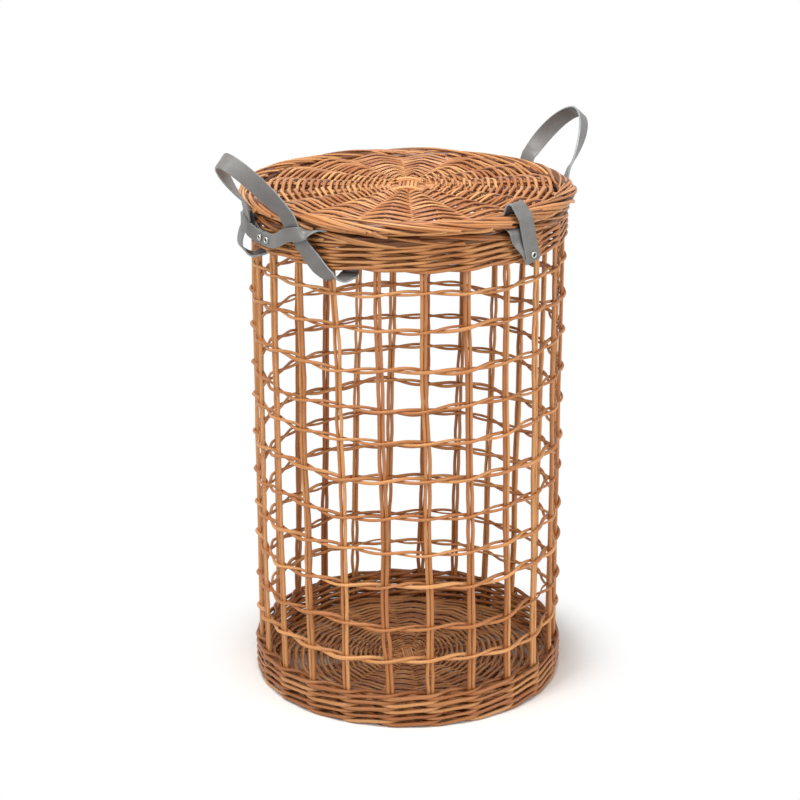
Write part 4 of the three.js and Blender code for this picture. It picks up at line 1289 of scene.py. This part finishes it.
@dataclass
class StrapHandle:
    """A handle: one strap that goes in under the top band, up past the lid, over in a loop and down again.

    Attributes:
        finishes: Materials.
        wall: The wall, for the places of the stakes.
        name: CAD node of the loop.
        body: Body meant to carry the loop; not used.
        azimuth: Middle of the handle in degrees.
        span: Width of the loop at the fold.
        rise: Height of the loop above the fold.
        lean: The loop's outward tilt in degrees.
        legs: The leg at the loop's start and the leg at its end.
        strap: The strap that it is cut from.
        fold: Height of the fold.
        fold_bend: How far below and above the fold the strap would bend when the handle swings; not used.
        lid_radius: Radius of the lid.
        lid_gap: Distance of the strap from the lid.
        narrowing: Power of the cosine by which the loop is narrower at the top than an ellipse.
        band_bottom: Underside of the top band.
        band_height: Height of the top band.
        outside: Radius of a leg outside the band.
        inside: Radius of a leg's end inside the band.
        sag: How far a leg hangs below the band.
        tail: Length of a leg turned up inside the band.
        twist: Tilt of the strap at the top of the loop in degrees.
        curl: Power by which a leg's way along the wall gathers pace.
        hook_start: Share of a leg's way to its exit where the hook starts.
        leg_top: How far below the fold a leg starts.
    """

    finishes: Finishes
    wall: StakeWall
    name: str
    body: Body
    azimuth: float
    span: float
    rise: float
    lean: float
    legs: tuple[HandleLeg, HandleLeg]
    strap: Strap = field(default_factory=Strap)
    fold: float = 0.613
    fold_bend: tuple[float, float] = (0.011, 0.012)
    lid_radius: float = 0.1985
    lid_gap: float = 0.0006
    narrowing: float = 1.1
    band_bottom: float = 0.5606
    band_height: float = 0.0295
    outside: float = 0.1955
    inside: float = 0.1748
    sag: float = 0.0085
    tail: float = 0.024
    twist: float = 3.0
    curl: float = 1.45
    hook_start: float = 0.78
    leg_top: float = 0.0022

    @property
    def reach(self) -> float:
        """Distance of the fold line from the axis: it clears the lid at the strap's near edges."""
        near = (self.span - self.strap.width) / 2.0
        return math.sqrt(self.lid_radius**2 - near**2) + self.strap.thick / 2.0 + self.lid_gap

    def loop(self) -> tuple[Array, Array]:
        """The loop: half an oval in a plane that leans outwards, narrower at the top than an ellipse.

        The strap lies along the wall at the folds, turned by each leg's swing, and turns towards the plane's
        facing direction over the top.

        Returns:
            Points and directions across the strap.
        """
        stops = 61
        middle = math.radians(self.azimuth)
        away, along = outward(middle), outward(middle + QUARTER)
        lean = math.radians(self.lean)
        rising = math.sin(lean) * away + math.cos(lean) * UP
        facing = math.cos(lean) * away - math.sin(lean) * UP
        turn = np.linspace(0.0, math.pi, stops)
        half = self.span / 2.0
        aside = half * np.sign(np.cos(turn)) * np.abs(np.cos(turn)) ** self.narrowing
        points = (
            self.reach * away
            + self.fold * UP
            - aside[:, None] * along
            + self.rise * np.sin(turn)[:, None] * rising
        )
        travel = unit(np.stack([half * np.sin(turn), self.rise * np.cos(turn)], -1))
        tilt = np.radians(-90.0 + (90.0 - self.twist) * np.sin(turn))
        over = -travel[:, 1:] * along + travel[:, :1] * rising
        across = np.cos(tilt)[:, None] * facing + np.sin(tilt)[:, None] * over
        swing = np.where(turn < QUARTER, self.legs[0].swing, self.legs[1].swing)
        spin = np.radians(swing * np.cos(turn) ** 2)[:, None]
        return points, np.cos(spin) * across + np.sin(spin) * np.cross(UP, across)

    def leg(self, leg: HandleLeg, count: int = 60) -> tuple[Array, Array]:
        """A leg from the fold down: a curve in radius and height that slants along the wall to its exit.

        Its way along the wall is a power of its share of the way to the exit, plus a sine for the sway and an
        eased step for the hook.

        Args:
            leg: Which leg.
            count: Number of points.

        Returns:
            Points and directions across the strap.
        """
        top = self.fold - self.leg_top
        radius = math.hypot(self.reach, self.span / 2.0)
        under = self.band_bottom - self.sag
        places = [
            # Straight down from the fold
            [radius, top],
            [radius, top - 0.006],
            # Past the top, the middle and the underside of the band
            [self.outside + 0.0036, self.band_bottom + self.band_height],
            [self.outside + 0.0012 + 0.9 * leg.slack, self.band_bottom + self.band_height / 2.0],
            [self.outside + 1.2 * leg.slack, self.band_bottom],
            # In under the band, between two stakes
            [self.outside - 0.005 + leg.slack / 2.0, under],
            [self.wall.radius, under + 0.0015],
            # Up inside the band
            [self.inside + 0.003, self.band_bottom - 0.005],
            [self.inside, self.band_bottom + 0.002],
            [self.inside, self.band_bottom + self.tail],
        ]
        away, height = curve_through(places, count).T
        exit_place = int(np.argmax(away < self.wall.radius))
        start = math.radians(self.azimuth) + leg.side * math.atan2(self.span / 2.0, self.reach)
        end = float(self.wall.azimuth(leg.stake, under))
        hook = math.radians(leg.hook)
        sweep = (end - hook - start + math.pi) % TURN - math.pi
        share = np.minimum(np.arange(count) / exit_place, 1.0)
        hooked = hook * smooth((share - self.hook_start) / (1.0 - self.hook_start))
        sway = math.radians(leg.sway) * np.sin(math.pi * share)
        azimuth = start + sweep * share**self.curl + hooked + sway
        points = polar(away, azimuth, height)
        fall = np.gradient(np.stack([away, height], -1), axis=0)
        facing = unit(-fall[:, 1:] * outward(azimuth) + fall[:, :1] * UP)
        # At the fold it faces as the loop does, and after a sixth of the leg as its own fall does.
        ease = smooth(6.0 * np.arange(count) / count)[:, None]
        facing = ease * facing + (1.0 - ease) * outward(math.radians(self.azimuth + leg.swing))
        return points, unit(np.cross(facing, np.gradient(points, axis=0)))

    def build(self, stops: int = 220, trim: int = 4, scale: float = 0.02) -> None:
        """Builds the strap from one leg over the loop to the other leg, rounded at the fold.

        Args:
            stops: Points along the strap.
            trim: Points left out at each leg's top, and half as many at the loop's ends, to round the fold.
            scale: Size of the across directions while they are smoothed along with the points.
        """
        (first, first_across), (last, last_across) = (self.leg(leg) for leg in self.legs)
        loop, loop_across = self.loop()
        middle = slice(trim // 2, -trim // 2)
        points = np.concatenate([first[trim:][::-1], loop[middle], last[trim:]])
        across = np.concatenate([first_across[trim:][::-1], loop_across[middle], -last_across[trim:]])
        both = curve_through(np.concatenate([points, across * scale], -1)[::2], stops)
        swept = self.strap.swept(both[:, :3], unit(both[:, 3:]))
        nodes = [self.name, *(leg.node for leg in self.legs)]
        piece = place_piece(swept, Slot.LEATHER, self.finishes, *nodes)
        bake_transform(piece)


@dataclass
class KeeperStrap:
    """A short strap folded round a handle's leg, riveted to itself and led past the other leg to the rim.

    Attributes:
        finishes: Materials.
        handle: The handle whose legs it passes.
        strap: The strap that it is cut from.
        node: CAD node that it stands for.
        rivets: CAD nodes of its rivets.
        band: Outer radius of the top band.
        rim: Top of the rim.
        lid_bottom: Underside of the lid's border.
        gap: Distance from what it lies on.
        rise: Middle of the keeper above the band's underside, at its rivets.
        grip_rise: The same where it is folded round the held leg.
        grip: Degrees from the held leg to the fold.
        slack: Extra room where it passes over a leg.
        press: What the fold round the held leg takes back of it.
        lap: Degrees from the second rivet to the end of the lap.
        climb: Its climb from the rivets to where it passes the other leg.
        tuck: Degrees past that leg to where it lies flat on the rim.
        tail: Degrees of keeper lying flat.
    """

    finishes: Finishes
    handle: StrapHandle
    strap: Strap = field(default_factory=lambda: Strap(width=0.016))
    node: str = "keeper_strap"
    rivets: tuple[str, str] = ("keeper_rivet_1", "keeper_rivet_2")
    band: float = 0.191
    rim: float = 0.6024
    lid_bottom: float = 0.606
    gap: float = 0.0003
    rise: float = 0.019
    grip_rise: float = 0.0325
    grip: float = 3.4
    slack: float = 0.0016
    press: float = 0.0010
    lap: float = 3.5
    climb: float = 0.0195
    tuck: float = 6.6
    tail: float = 2.2

    def leg_at(self, leg: HandleLeg, height: float) -> tuple[float, float]:
        """Finds where a leg first falls below a height.

        Args:
            leg: Which leg.
            height: The height.

        Returns:
            Azimuth in degrees, and radius.
        """
        points, _ = self.handle.leg(leg, count=120)
        spot = points[int(np.argmax(points[:, 2] < height))]
        return math.degrees(math.atan2(spot[1], spot[0])) % 360.0, float(math.hypot(spot[0], spot[1]))

    def rivet_at(self, node: str) -> float:
        """Azimuth of a CAD rivet in degrees."""
        low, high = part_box(node)
        return math.degrees(math.atan2(low.y + high.y, low.x + high.x)) % 360.0

    def route(self) -> Array:
        """Finds the keeper's way, which folds round the held leg in half an oval.

        Returns:
            Azimuth in degrees, radius, height and degrees by which it is turned flat, at each place.
        """
        back, front = self.handle.legs
        low, high = self.handle.band_bottom + self.rise, self.handle.band_bottom + self.grip_rise
        crossing, halfway = low + self.climb, (low + high) / 2.0
        thick, half = self.strap.thick, self.strap.width / 2.0
        under = self.band + self.gap + thick / 2.0
        lapped = under + thick + self.gap
        passing = thick + self.gap + self.slack
        held, over = self.leg_at(back, high)
        over = over + passing - self.press
        passed = self.leg_at(front, crossing)[0]
        outer = self.leg_at(front, crossing + half)[1] + passing
        on_rim = (self.rim + self.lid_bottom) / 2.0
        rim_middle = self.band - half
        near, far = (self.rivet_at(node) for node in self.rivets)
        turn = np.radians([0.0, 35.0, 65.0, 90.0, 115.0, 145.0, 180.0])
        middle, deep = (over + under) / 2.0, (over - under) / 2.0
        bend = math.degrees(deep / middle)
        fold_azimuth = held - self.grip + bend - bend * np.sin(turn)
        fold = zip(fold_azimuth, middle - deep * np.cos(turn))
        flat_at = passed + self.tuck
        return np.array(
            [
                # The lapped end, under the rivets and up to the held leg
                [far + self.lap, under, low, 0.0],
                [far - 2.0, under, low, 0.0],
                [near - 2.0, under, low, 0.0],
                [held + 0.7 * self.grip, under, halfway, 0.0],
                # Round the leg and back over the rivets
                *([azimuth, radius, high, 0.0] for azimuth, radius in fold),
                [held + self.grip, over - 0.5 * self.slack, halfway, 0.0],
                [near - 2.0, lapped, low, 0.0],
                [far + 1.5, lapped, low, 0.0],
                # Up and over the other leg
                [(far + passed) / 2.0, (lapped + outer) / 2.0, low + 0.35 * self.climb, 0.0],
                [passed - 2.5, outer, crossing - 0.003, 0.0],
                [passed + 2.5, outer - 0.001, crossing + 0.001, 10.0],
                # Turned flat and tucked on the rim
                [passed + 0.65 * self.tuck, outer - 0.006, on_rim - 0.002, 70.0],
                [flat_at, rim_middle + 0.007, on_rim, 90.0],
                [flat_at + self.tail, rim_middle, on_rim, 90.0],
            ]
        )

    def build(self, stops: int = 190, scale: float = 0.0001) -> None:
        """Builds the strap as a smooth curve through its route.

        Args:
            stops: Points along the strap.
            scale: Metres that stand for a degree while the turn is smoothed along with the places.
        """
        azimuth, radius, height, flat = self.route().T
        places = polar(radius, np.radians(azimuth), height)
        both = curve_through(np.concatenate([places, flat[:, None] * scale], -1), stops)
        points, flat = both[:, :3], np.radians(both[:, 3:] / scale)
        across = -np.sin(flat) * off_axis(points) + np.cos(flat) * UP
        place_rigid(self.strap.swept(points, across), Slot.LEATHER, self.finishes, self.node, Body.BASKET)


@dataclass
class BorderLoop:
    """Straps that go round the lid's border: the pull tab and the two hinges.

    Attributes:
        finishes: Materials.
        strap: The strap that they are cut from.
        ring: Radius of the circle through the border's middle.
        height: Height of that middle.
        loop: Radius of a strap's middle round the border.
        tab_azimuth: Azimuth of the pull tab in degrees.
        tab_drop: Distance from the border's middle to the tab's end.
        tab_arch: How far the tab's loop stands up off the border.
        tab_skew: Sideways drift of the tab for each metre that it drops.
        tab_wind: Sideways distance from the tab's inner strand to its outer one under the border.
        tab_meeting: Distance from the border's middle to where the tab's strands meet.
        tab_lap: How far the tab's two strands are pressed into each other.
        hinge_offset: Middle of a hinge strap from the hamper's middle plane.
        hinge_top: Rise of a hinge's loop above the border's middle, under the border's upper rods.
        hinge_lug: Angle on a hinge's loop where its leaf starts, in degrees.
        pivot: Distance of the hinge's fold line behind the axis, and its height.
        pivot_bend: How far below and above the fold line a leaf bends; not used.
        seat: Distance of a hinge strap behind the axis where it lies on the band.
        hinge_end: Lower end of a hinge strap.
        hinge_start: How far below the fold line a hinge strap starts to swing in to the band.
        hinge_bend: Height over which it does.
    """

    finishes: Finishes
    strap: Strap = field(default_factory=Strap)
    ring: float = 0.193
    height: float = 0.613
    loop: float = 0.0091
    tab_azimuth: float = 277.0
    tab_drop: float = 0.0495
    tab_arch: float = 0.010
    tab_skew: float = 0.26
    tab_wind: float = 0.014
    tab_meeting: float = 0.035
    tab_lap: float = 0.0001
    hinge_offset: float = 0.028
    hinge_top: float = 0.0030
    hinge_lug: float = -38.0
    pivot: tuple[float, float] = (0.1985, 0.6040)
    pivot_bend: tuple[float, float] = (0.004, 0.002)
    seat: float = 0.1916
    hinge_end: float = 0.5626
    hinge_start: float = 0.0022
    hinge_bend: float = 0.019

    def build_tab(self) -> None:
        """Builds the tab: up its inner strand, round the border over the top, and down its outer strand.

        The places are of radius, height and the sideways distance by which the strap winds round the border,
        to which the skew times the drop is added. Over the border, a circle is raised by the arch times the
        sine's square outside, and times its fourth power inside, where the tab clears the rim when it is
        swung out.
        """
        stops = 150
        outer = self.ring + self.loop
        inner = outer - self.strap.thick + self.tab_lap
        end, meeting = self.height - self.tab_drop, self.height - self.tab_meeting
        # From under the border up inside it, over the top and down outside
        turn = np.radians(np.arange(-100.0, -351.0, -25.0))
        power = np.where(np.cos(turn) < 0.0, 4.0, 2.0)
        rise = self.loop * np.sin(turn) + self.tab_arch * np.maximum(np.sin(turn), 0.0) ** power
        wind = -self.tab_wind * np.linspace(0.95, 0.0, len(turn))
        places = [
            # Up the inner strand, which parts from the outer one and winds aside
            [inner, end, 0.0],
            [inner, end + 0.010, -0.1 * self.tab_wind],
            [inner, meeting, -0.3 * self.tab_wind],
            [inner - 0.002, self.height - 0.024, -0.75 * self.tab_wind],
            [self.ring + 0.0045, self.height - 0.0125, -self.tab_wind],
            # Round the border
            *np.stack([self.ring + self.loop * np.cos(turn), self.height + rise, wind], -1),
            # Down the outer strand
            [outer, self.height - 0.008, 0.0],
            [outer, meeting, 0.0],
            [outer, end, 0.0],
        ]
        away, height, slide = curve_through(places, stops).T
        azimuth = math.radians(self.tab_azimuth)
        along = outward(azimuth + QUARTER)
        aside = slide + self.tab_skew * (self.height - height)
        points = polar(away, azimuth, height) + aside[:, None] * along
        place_rigid(self.strap.swept(points, along), Slot.LEATHER, self.finishes, "pull_tab", Body.TAB)

    def build_hinge(self, side: str, offset: float) -> None:
        """Builds a hinge: a closed loop on the lid, and a leaf that bends at the fold between basket and lid.

        The loop is an oval, lower above the border's middle than below it.

        Args:
            side: Which hinge, as in the CAD nodes' names.
            offset: Middle of its straps from the hamper's middle plane.
        """
        loop_stops, stops = 64, 60
        turn = np.linspace(0.0, TURN, loop_stops, endpoint=False)
        near, far = (abs(offset) + edge * self.strap.width / 2.0 for edge in (-1.0, 1.0))
        back, front = (math.sqrt(self.ring**2 - edge**2) for edge in (near, far))
        middle = (back + front) / 2.0
        half = self.loop + (back - front) / 2.0
        rise = np.where(np.sin(turn) < 0.0, self.hinge_top, self.loop) * -np.sin(turn)
        oval = np.stack([np.full_like(turn, offset), middle + half * np.cos(turn), self.height + rise], -1)
        across = np.array([1.0, 0.0, 0.0])
        loop = self.strap.swept(oval, across, closed=True)
        place_rigid(loop, Slot.LEATHER, self.finishes, f"hinge_loop_{side}", Body.LID)

        pivot, fold = self.pivot
        lug = math.radians(self.hinge_lug)
        bend = np.linspace(0.0, 1.0, 7)
        swung = pivot + (self.seat - pivot) * smooth(bend)
        places = [
            [middle + half * math.cos(lug) + 0.001, self.height + self.loop * math.sin(lug)],
            [pivot, fold],
            *np.stack([swung, fold - self.hinge_start - self.hinge_bend * bend], -1),
            [self.seat, self.hinge_end],
        ]
        depth, height = curve_through(places, stops).T
        points = np.stack([np.full_like(depth, offset), depth, height], -1)
        leaf = self.strap.swept(points, across)
        piece = place_piece(leaf, Slot.LEATHER, self.finishes, f"hinge_strap_{side}")
        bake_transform(piece)

    def build(self) -> None:
        """Builds the pull tab and both hinges."""
        self.build_tab()
        self.build_hinge("left", -self.hinge_offset)
        self.build_hinge("right", self.hinge_offset)


# Studio


@dataclass
class Studio:
    """A pale floor, soft lamps, a white surround and the camera.

    Attributes:
        distance: Level distance of the camera from the hamper's axis.
        height: Height of the camera.
        azimuth: Where the camera stands, in degrees.
        pitch: How far it looks down, in degrees.
        lens: Focal length in millimetres.
        sensor: Width of the camera's picture plane in millimetres.
        shift: Sideways shift of the picture, as a share of its width.
        aim: Height on the axis that the lamps face.
        floor_reach: Half the floor's side.
        floor_colour: Colour of the floor near the hamper.
        shadow: Distance from the axis where the floor's shadow starts to fade, and where it ends.
        surround: Strength of the light from all sides.
    """

    distance: float = 2.4734
    height: float = 1.2030
    azimuth: float = 236.25
    pitch: float = 19.065
    lens: float = 96.37
    sensor: float = 36.0
    shift: float = -0.00966
    aim: float = 0.35
    floor_reach: float = 6.0
    floor_colour: str = "#F4F2EF"
    shadow: tuple[float, float] = (0.19, 0.29)
    surround: float = 0.26

    def build_camera(self) -> None:
        """Stands the camera at the photo's place, level sideways."""
        data = bpy.data.cameras.new("camera")
        data.lens, data.sensor_width, data.shift_x = self.lens, self.sensor, self.shift
        camera = bpy.data.objects.new("camera", data)
        turn = math.radians(self.azimuth)
        camera.location = (self.distance * math.cos(turn), self.distance * math.sin(turn), self.height)
        camera.rotation_euler = (math.radians(90.0 - self.pitch), 0.0, turn + QUARTER)
        bpy.context.scene.collection.objects.link(camera)
        bpy.context.scene.camera = camera

    def build_lamp(
        self, name: str, azimuth: float, height: float, away: float, size: float, power: float
    ) -> None:
        """Hangs a square soft lamp that faces the middle of the hamper.

        Args:
            name: Name of the lamp.
            azimuth: Where it hangs, in degrees from the camera to the right.
            height: Its height.
            away: Its level distance from the axis.
            size: Its side.
            power: Its power in watts.
        """
        data = bpy.data.lights.new(name, "AREA")
        data.shape, data.size, data.energy = "SQUARE", size, power
        lamp = bpy.data.objects.new(name, data)
        turn = math.radians(self.azimuth + azimuth)
        down = math.atan2(height - self.aim, away)
        lamp.location = tuple(polar(away, turn, height))
        lamp.rotation_euler = (QUARTER - down, 0.0, turn + QUARTER)
        bpy.context.scene.collection.objects.link(lamp)

    @staticmethod
    def seen(tree: bpy.types.NodeTree) -> bpy.types.NodeSocket:
        """Tells what the camera sees from light on the scene, by the greatest of three kinds of ray.

        Args:
            tree: Tree that gets the nodes.

        Returns:
            One for what is seen directly, in a reflection or through a surface, else zero.
        """
        ray = add(tree, "LightPath", {}).outputs
        direct, mirrored, through = (ray[f"Is {kind} Ray"] for kind in ("Camera", "Glossy", "Transmission"))
        either = add(tree, "Math", {0: direct, 1: mirrored}, operation="MAXIMUM")
        return add(tree, "Math", {0: either.outputs[0], 1: through}, operation="MAXIMUM").outputs[0]

    def build_floor(self) -> None:
        """Lays the floor: off-white that keeps the hamper's shadow near it, and pure white further off."""
        mesh = bpy.data.meshes.new("floor")
        reach = self.floor_reach
        corners = [(-reach, -reach, 0.0), (reach, -reach, 0.0), (reach, reach, 0.0), (-reach, reach, 0.0)]
        mesh.from_pydata(corners, [], [(0, 1, 2, 3)])
        floor = bpy.data.objects.new("floor", mesh)
        bpy.context.scene.collection.objects.link(floor)
        material, tree = new_material("white_studio_floor")
        place = add(tree, "TexCoord", {})
        away = add(tree, "VectorMath", {0: place.outputs["Object"]}, operation="LENGTH")
        limits = {"From Min": self.shadow[0], "From Max": self.shadow[1]}
        distance = {"Value": away.outputs["Value"], **limits}
        far = add(tree, "MapRange", distance, interpolation_type="SMOOTHSTEP")
        share = add(tree, "Math", {0: self.seen(tree), 1: far.outputs[0]}, operation="MULTIPLY")
        plain = add(tree, "BsdfPrincipled", {"Base Color": linear(self.floor_colour), "Roughness": 0.9})
        white = add(tree, "Emission", {"Color": linear("#FFFFFF"), "Strength": 1.0})
        mixed = add(tree, "MixShader", {0: share.outputs[0], 1: plain.outputs[0], 2: white.outputs[0]})
        add(tree, "OutputMaterial", {"Surface": mixed.outputs[0]})
        mesh.materials.append(material)

    def build_world(self) -> None:
        """Surrounds the hamper with even light that the camera and bright metal see as white."""
        world = bpy.data.worlds.new("studio")
        bpy.context.scene.world = world
        world.use_nodes = True
        tree = world.node_tree
        tree.nodes.clear()
        even = add(tree, "Background", {"Color": linear("#FFFFFF"), "Strength": self.surround})
        white = add(tree, "Background", {"Color": linear("#FFFFFF"), "Strength": 1.0})
        mixed = add(tree, "MixShader", {0: self.seen(tree), 1: even.outputs[0], 2: white.outputs[0]})
        add(tree, "OutputWorld", {"Surface": mixed.outputs[0]})

    def build(self) -> None:
        """Builds the camera, floor, lamps and surround."""
        bpy.context.scene.view_settings.view_transform = "Standard"
        self.build_camera()
        self.build_floor()
        self.build_world()
        self.build_lamp("top_lamp", azimuth=-25.0, height=2.7, away=0.5, size=1.1, power=60.0)
        self.build_lamp("key_lamp", azimuth=-42.0, height=1.9, away=2.2, size=0.8, power=30.0)
        self.build_lamp("fill_lamp", azimuth=62.0, height=0.8, away=2.3, size=1.1, power=24.0)


def build_willow(finishes: Finishes, wall: StakeWall) -> None:
    """Builds the woven pieces from the wall up to the lid.

    Args:
        finishes: Materials.
        wall: The wall that they belong to.
    """
    wall.build_stakes()
    wall.build_rows()
    foot_band = WaledBand(
        wall, "foot_band", rounds=5, strand=0.0055, deep=0.0046, tuck=0.0015, ease=0.0018, shade=0.7, seed=31
    )
    top_band = WaledBand(
        wall, "top_band", rounds=4, strand=0.0044, deep=0.0042, tuck=0.0, ease=0.0006, shade=1.0, seed=37
    )
    rim_border = RolledBorder(
        finishes,
        "rim_border",
        Body.BASKET,
        ring=0.184,
        height=0.5962,
        half_width=0.0080,
        half_height=0.0076,
        rod=0.0038,
        lays=(Lay(44, 172.0, -70.0, 0.17), Lay(30, -170.0, -20.0, 0.16)),
        poke=0.0,
        seed=41,
    )
    lid_border = RolledBorder(
        finishes,
        "lid_border",
        Body.LID,
        ring=0.1865,
        height=0.6118,
        half_width=0.0120,
        half_height=0.0077,
        rod=0.0043,
        lays=(
            Lay(46, 172.0, -50.0, 0.15),
            Lay(18, 150.0, -15.0, 0.17, proud=0.0008),
            Lay(38, -172.0, -20.0, 0.14),
        ),
        poke=0.0050,
        seed=43,
    )
    for piece in (foot_band, top_band, rim_border, lid_border):
        piece.build()
    base = WovenDisc(
        finishes,
        "base",
        Body.BASKET,
        height=0.0052,
        crown=0.0015,
        inner=0.0185,
        outer=0.176,
        spoke_end=0.176,
        pitch=(0.0045, 0.0100),
        strand=0.0030,
        spoke=0.0028,
        first=7.5,
        cross=63.75,
        shade=0.6,
        seed=53,
    )
    lid = WovenDisc(
        finishes,
        "lid",
        Body.LID,
        height=0.6115,
        crown=0.0030,
        inner=0.0270,
        outer=0.1735,
        spoke_end=0.188,
        pitch=(0.0060, 0.0090),
        strand=0.0035,
        spoke=0.0062,
        first=2.5,
        cross=54.0,
        shade=1.0,
        seed=59,
    )
    for disc in (base, lid):
        disc.build_weave()
        disc.build_cross()


def build_leather(finishes: Finishes, wall: StakeWall) -> None:
    """Builds the straps and their rivets.

    Args:
        finishes: Materials.
        wall: The wall that the handles go in through.
    """
    left_back = HandleLeg("handle_left_leg_back", -1, 11.34, swing=-11.0, slack=0.0070, sway=-6.0, hook=1.5)
    left_front = HandleLeg("handle_left_leg_front", 1, 14.34, swing=18.0, hook=2.6)
    right_front = HandleLeg("handle_right_leg_front", -1, 22.5, swing=-24.0)
    right_back = HandleLeg("handle_right_leg_back", 1, 0.5, swing=12.0)
    left = StrapHandle(
        finishes,
        wall,
        "handle_left",
        Body.LEFT,
        azimuth=184.2,
        span=0.084,
        rise=0.0910,
        lean=41.0,
        legs=(left_back, left_front),
    )
    right = StrapHandle(
        finishes,
        wall,
        "handle_right",
        Body.RIGHT,
        azimuth=-2.0,
        span=0.086,
        rise=0.0820,
        lean=36.5,
        legs=(right_front, right_back),
    )
    keeper = KeeperStrap(finishes, left)
    for piece in (left, right, keeper, BorderLoop(finishes)):
        piece.build()
    rivet = Rivet(finishes)
    for node in (*keeper.rivets, "hinge_rivet_left", "hinge_rivet_right"):
        rivet.build(node, Body.BASKET)
    rivet.build("pull_tab_rivet", Body.TAB)


def main() -> None:
    """Builds the hamper's pieces in order, then the studio."""
    logging.basicConfig(level=logging.INFO, format="%(name)s %(message)s")
    finishes = {
        Slot.WILLOW: LacqueredWillow().material(),
        Slot.LEATHER: StrapLeather().material(),
        Slot.NICKEL: NickelPlate().material(),
    }
    wall = StakeWall(finishes)
    build_willow(finishes, wall)
    build_leather(finishes, wall)
    Studio().build()


if __name__ == "__main__":
    main()
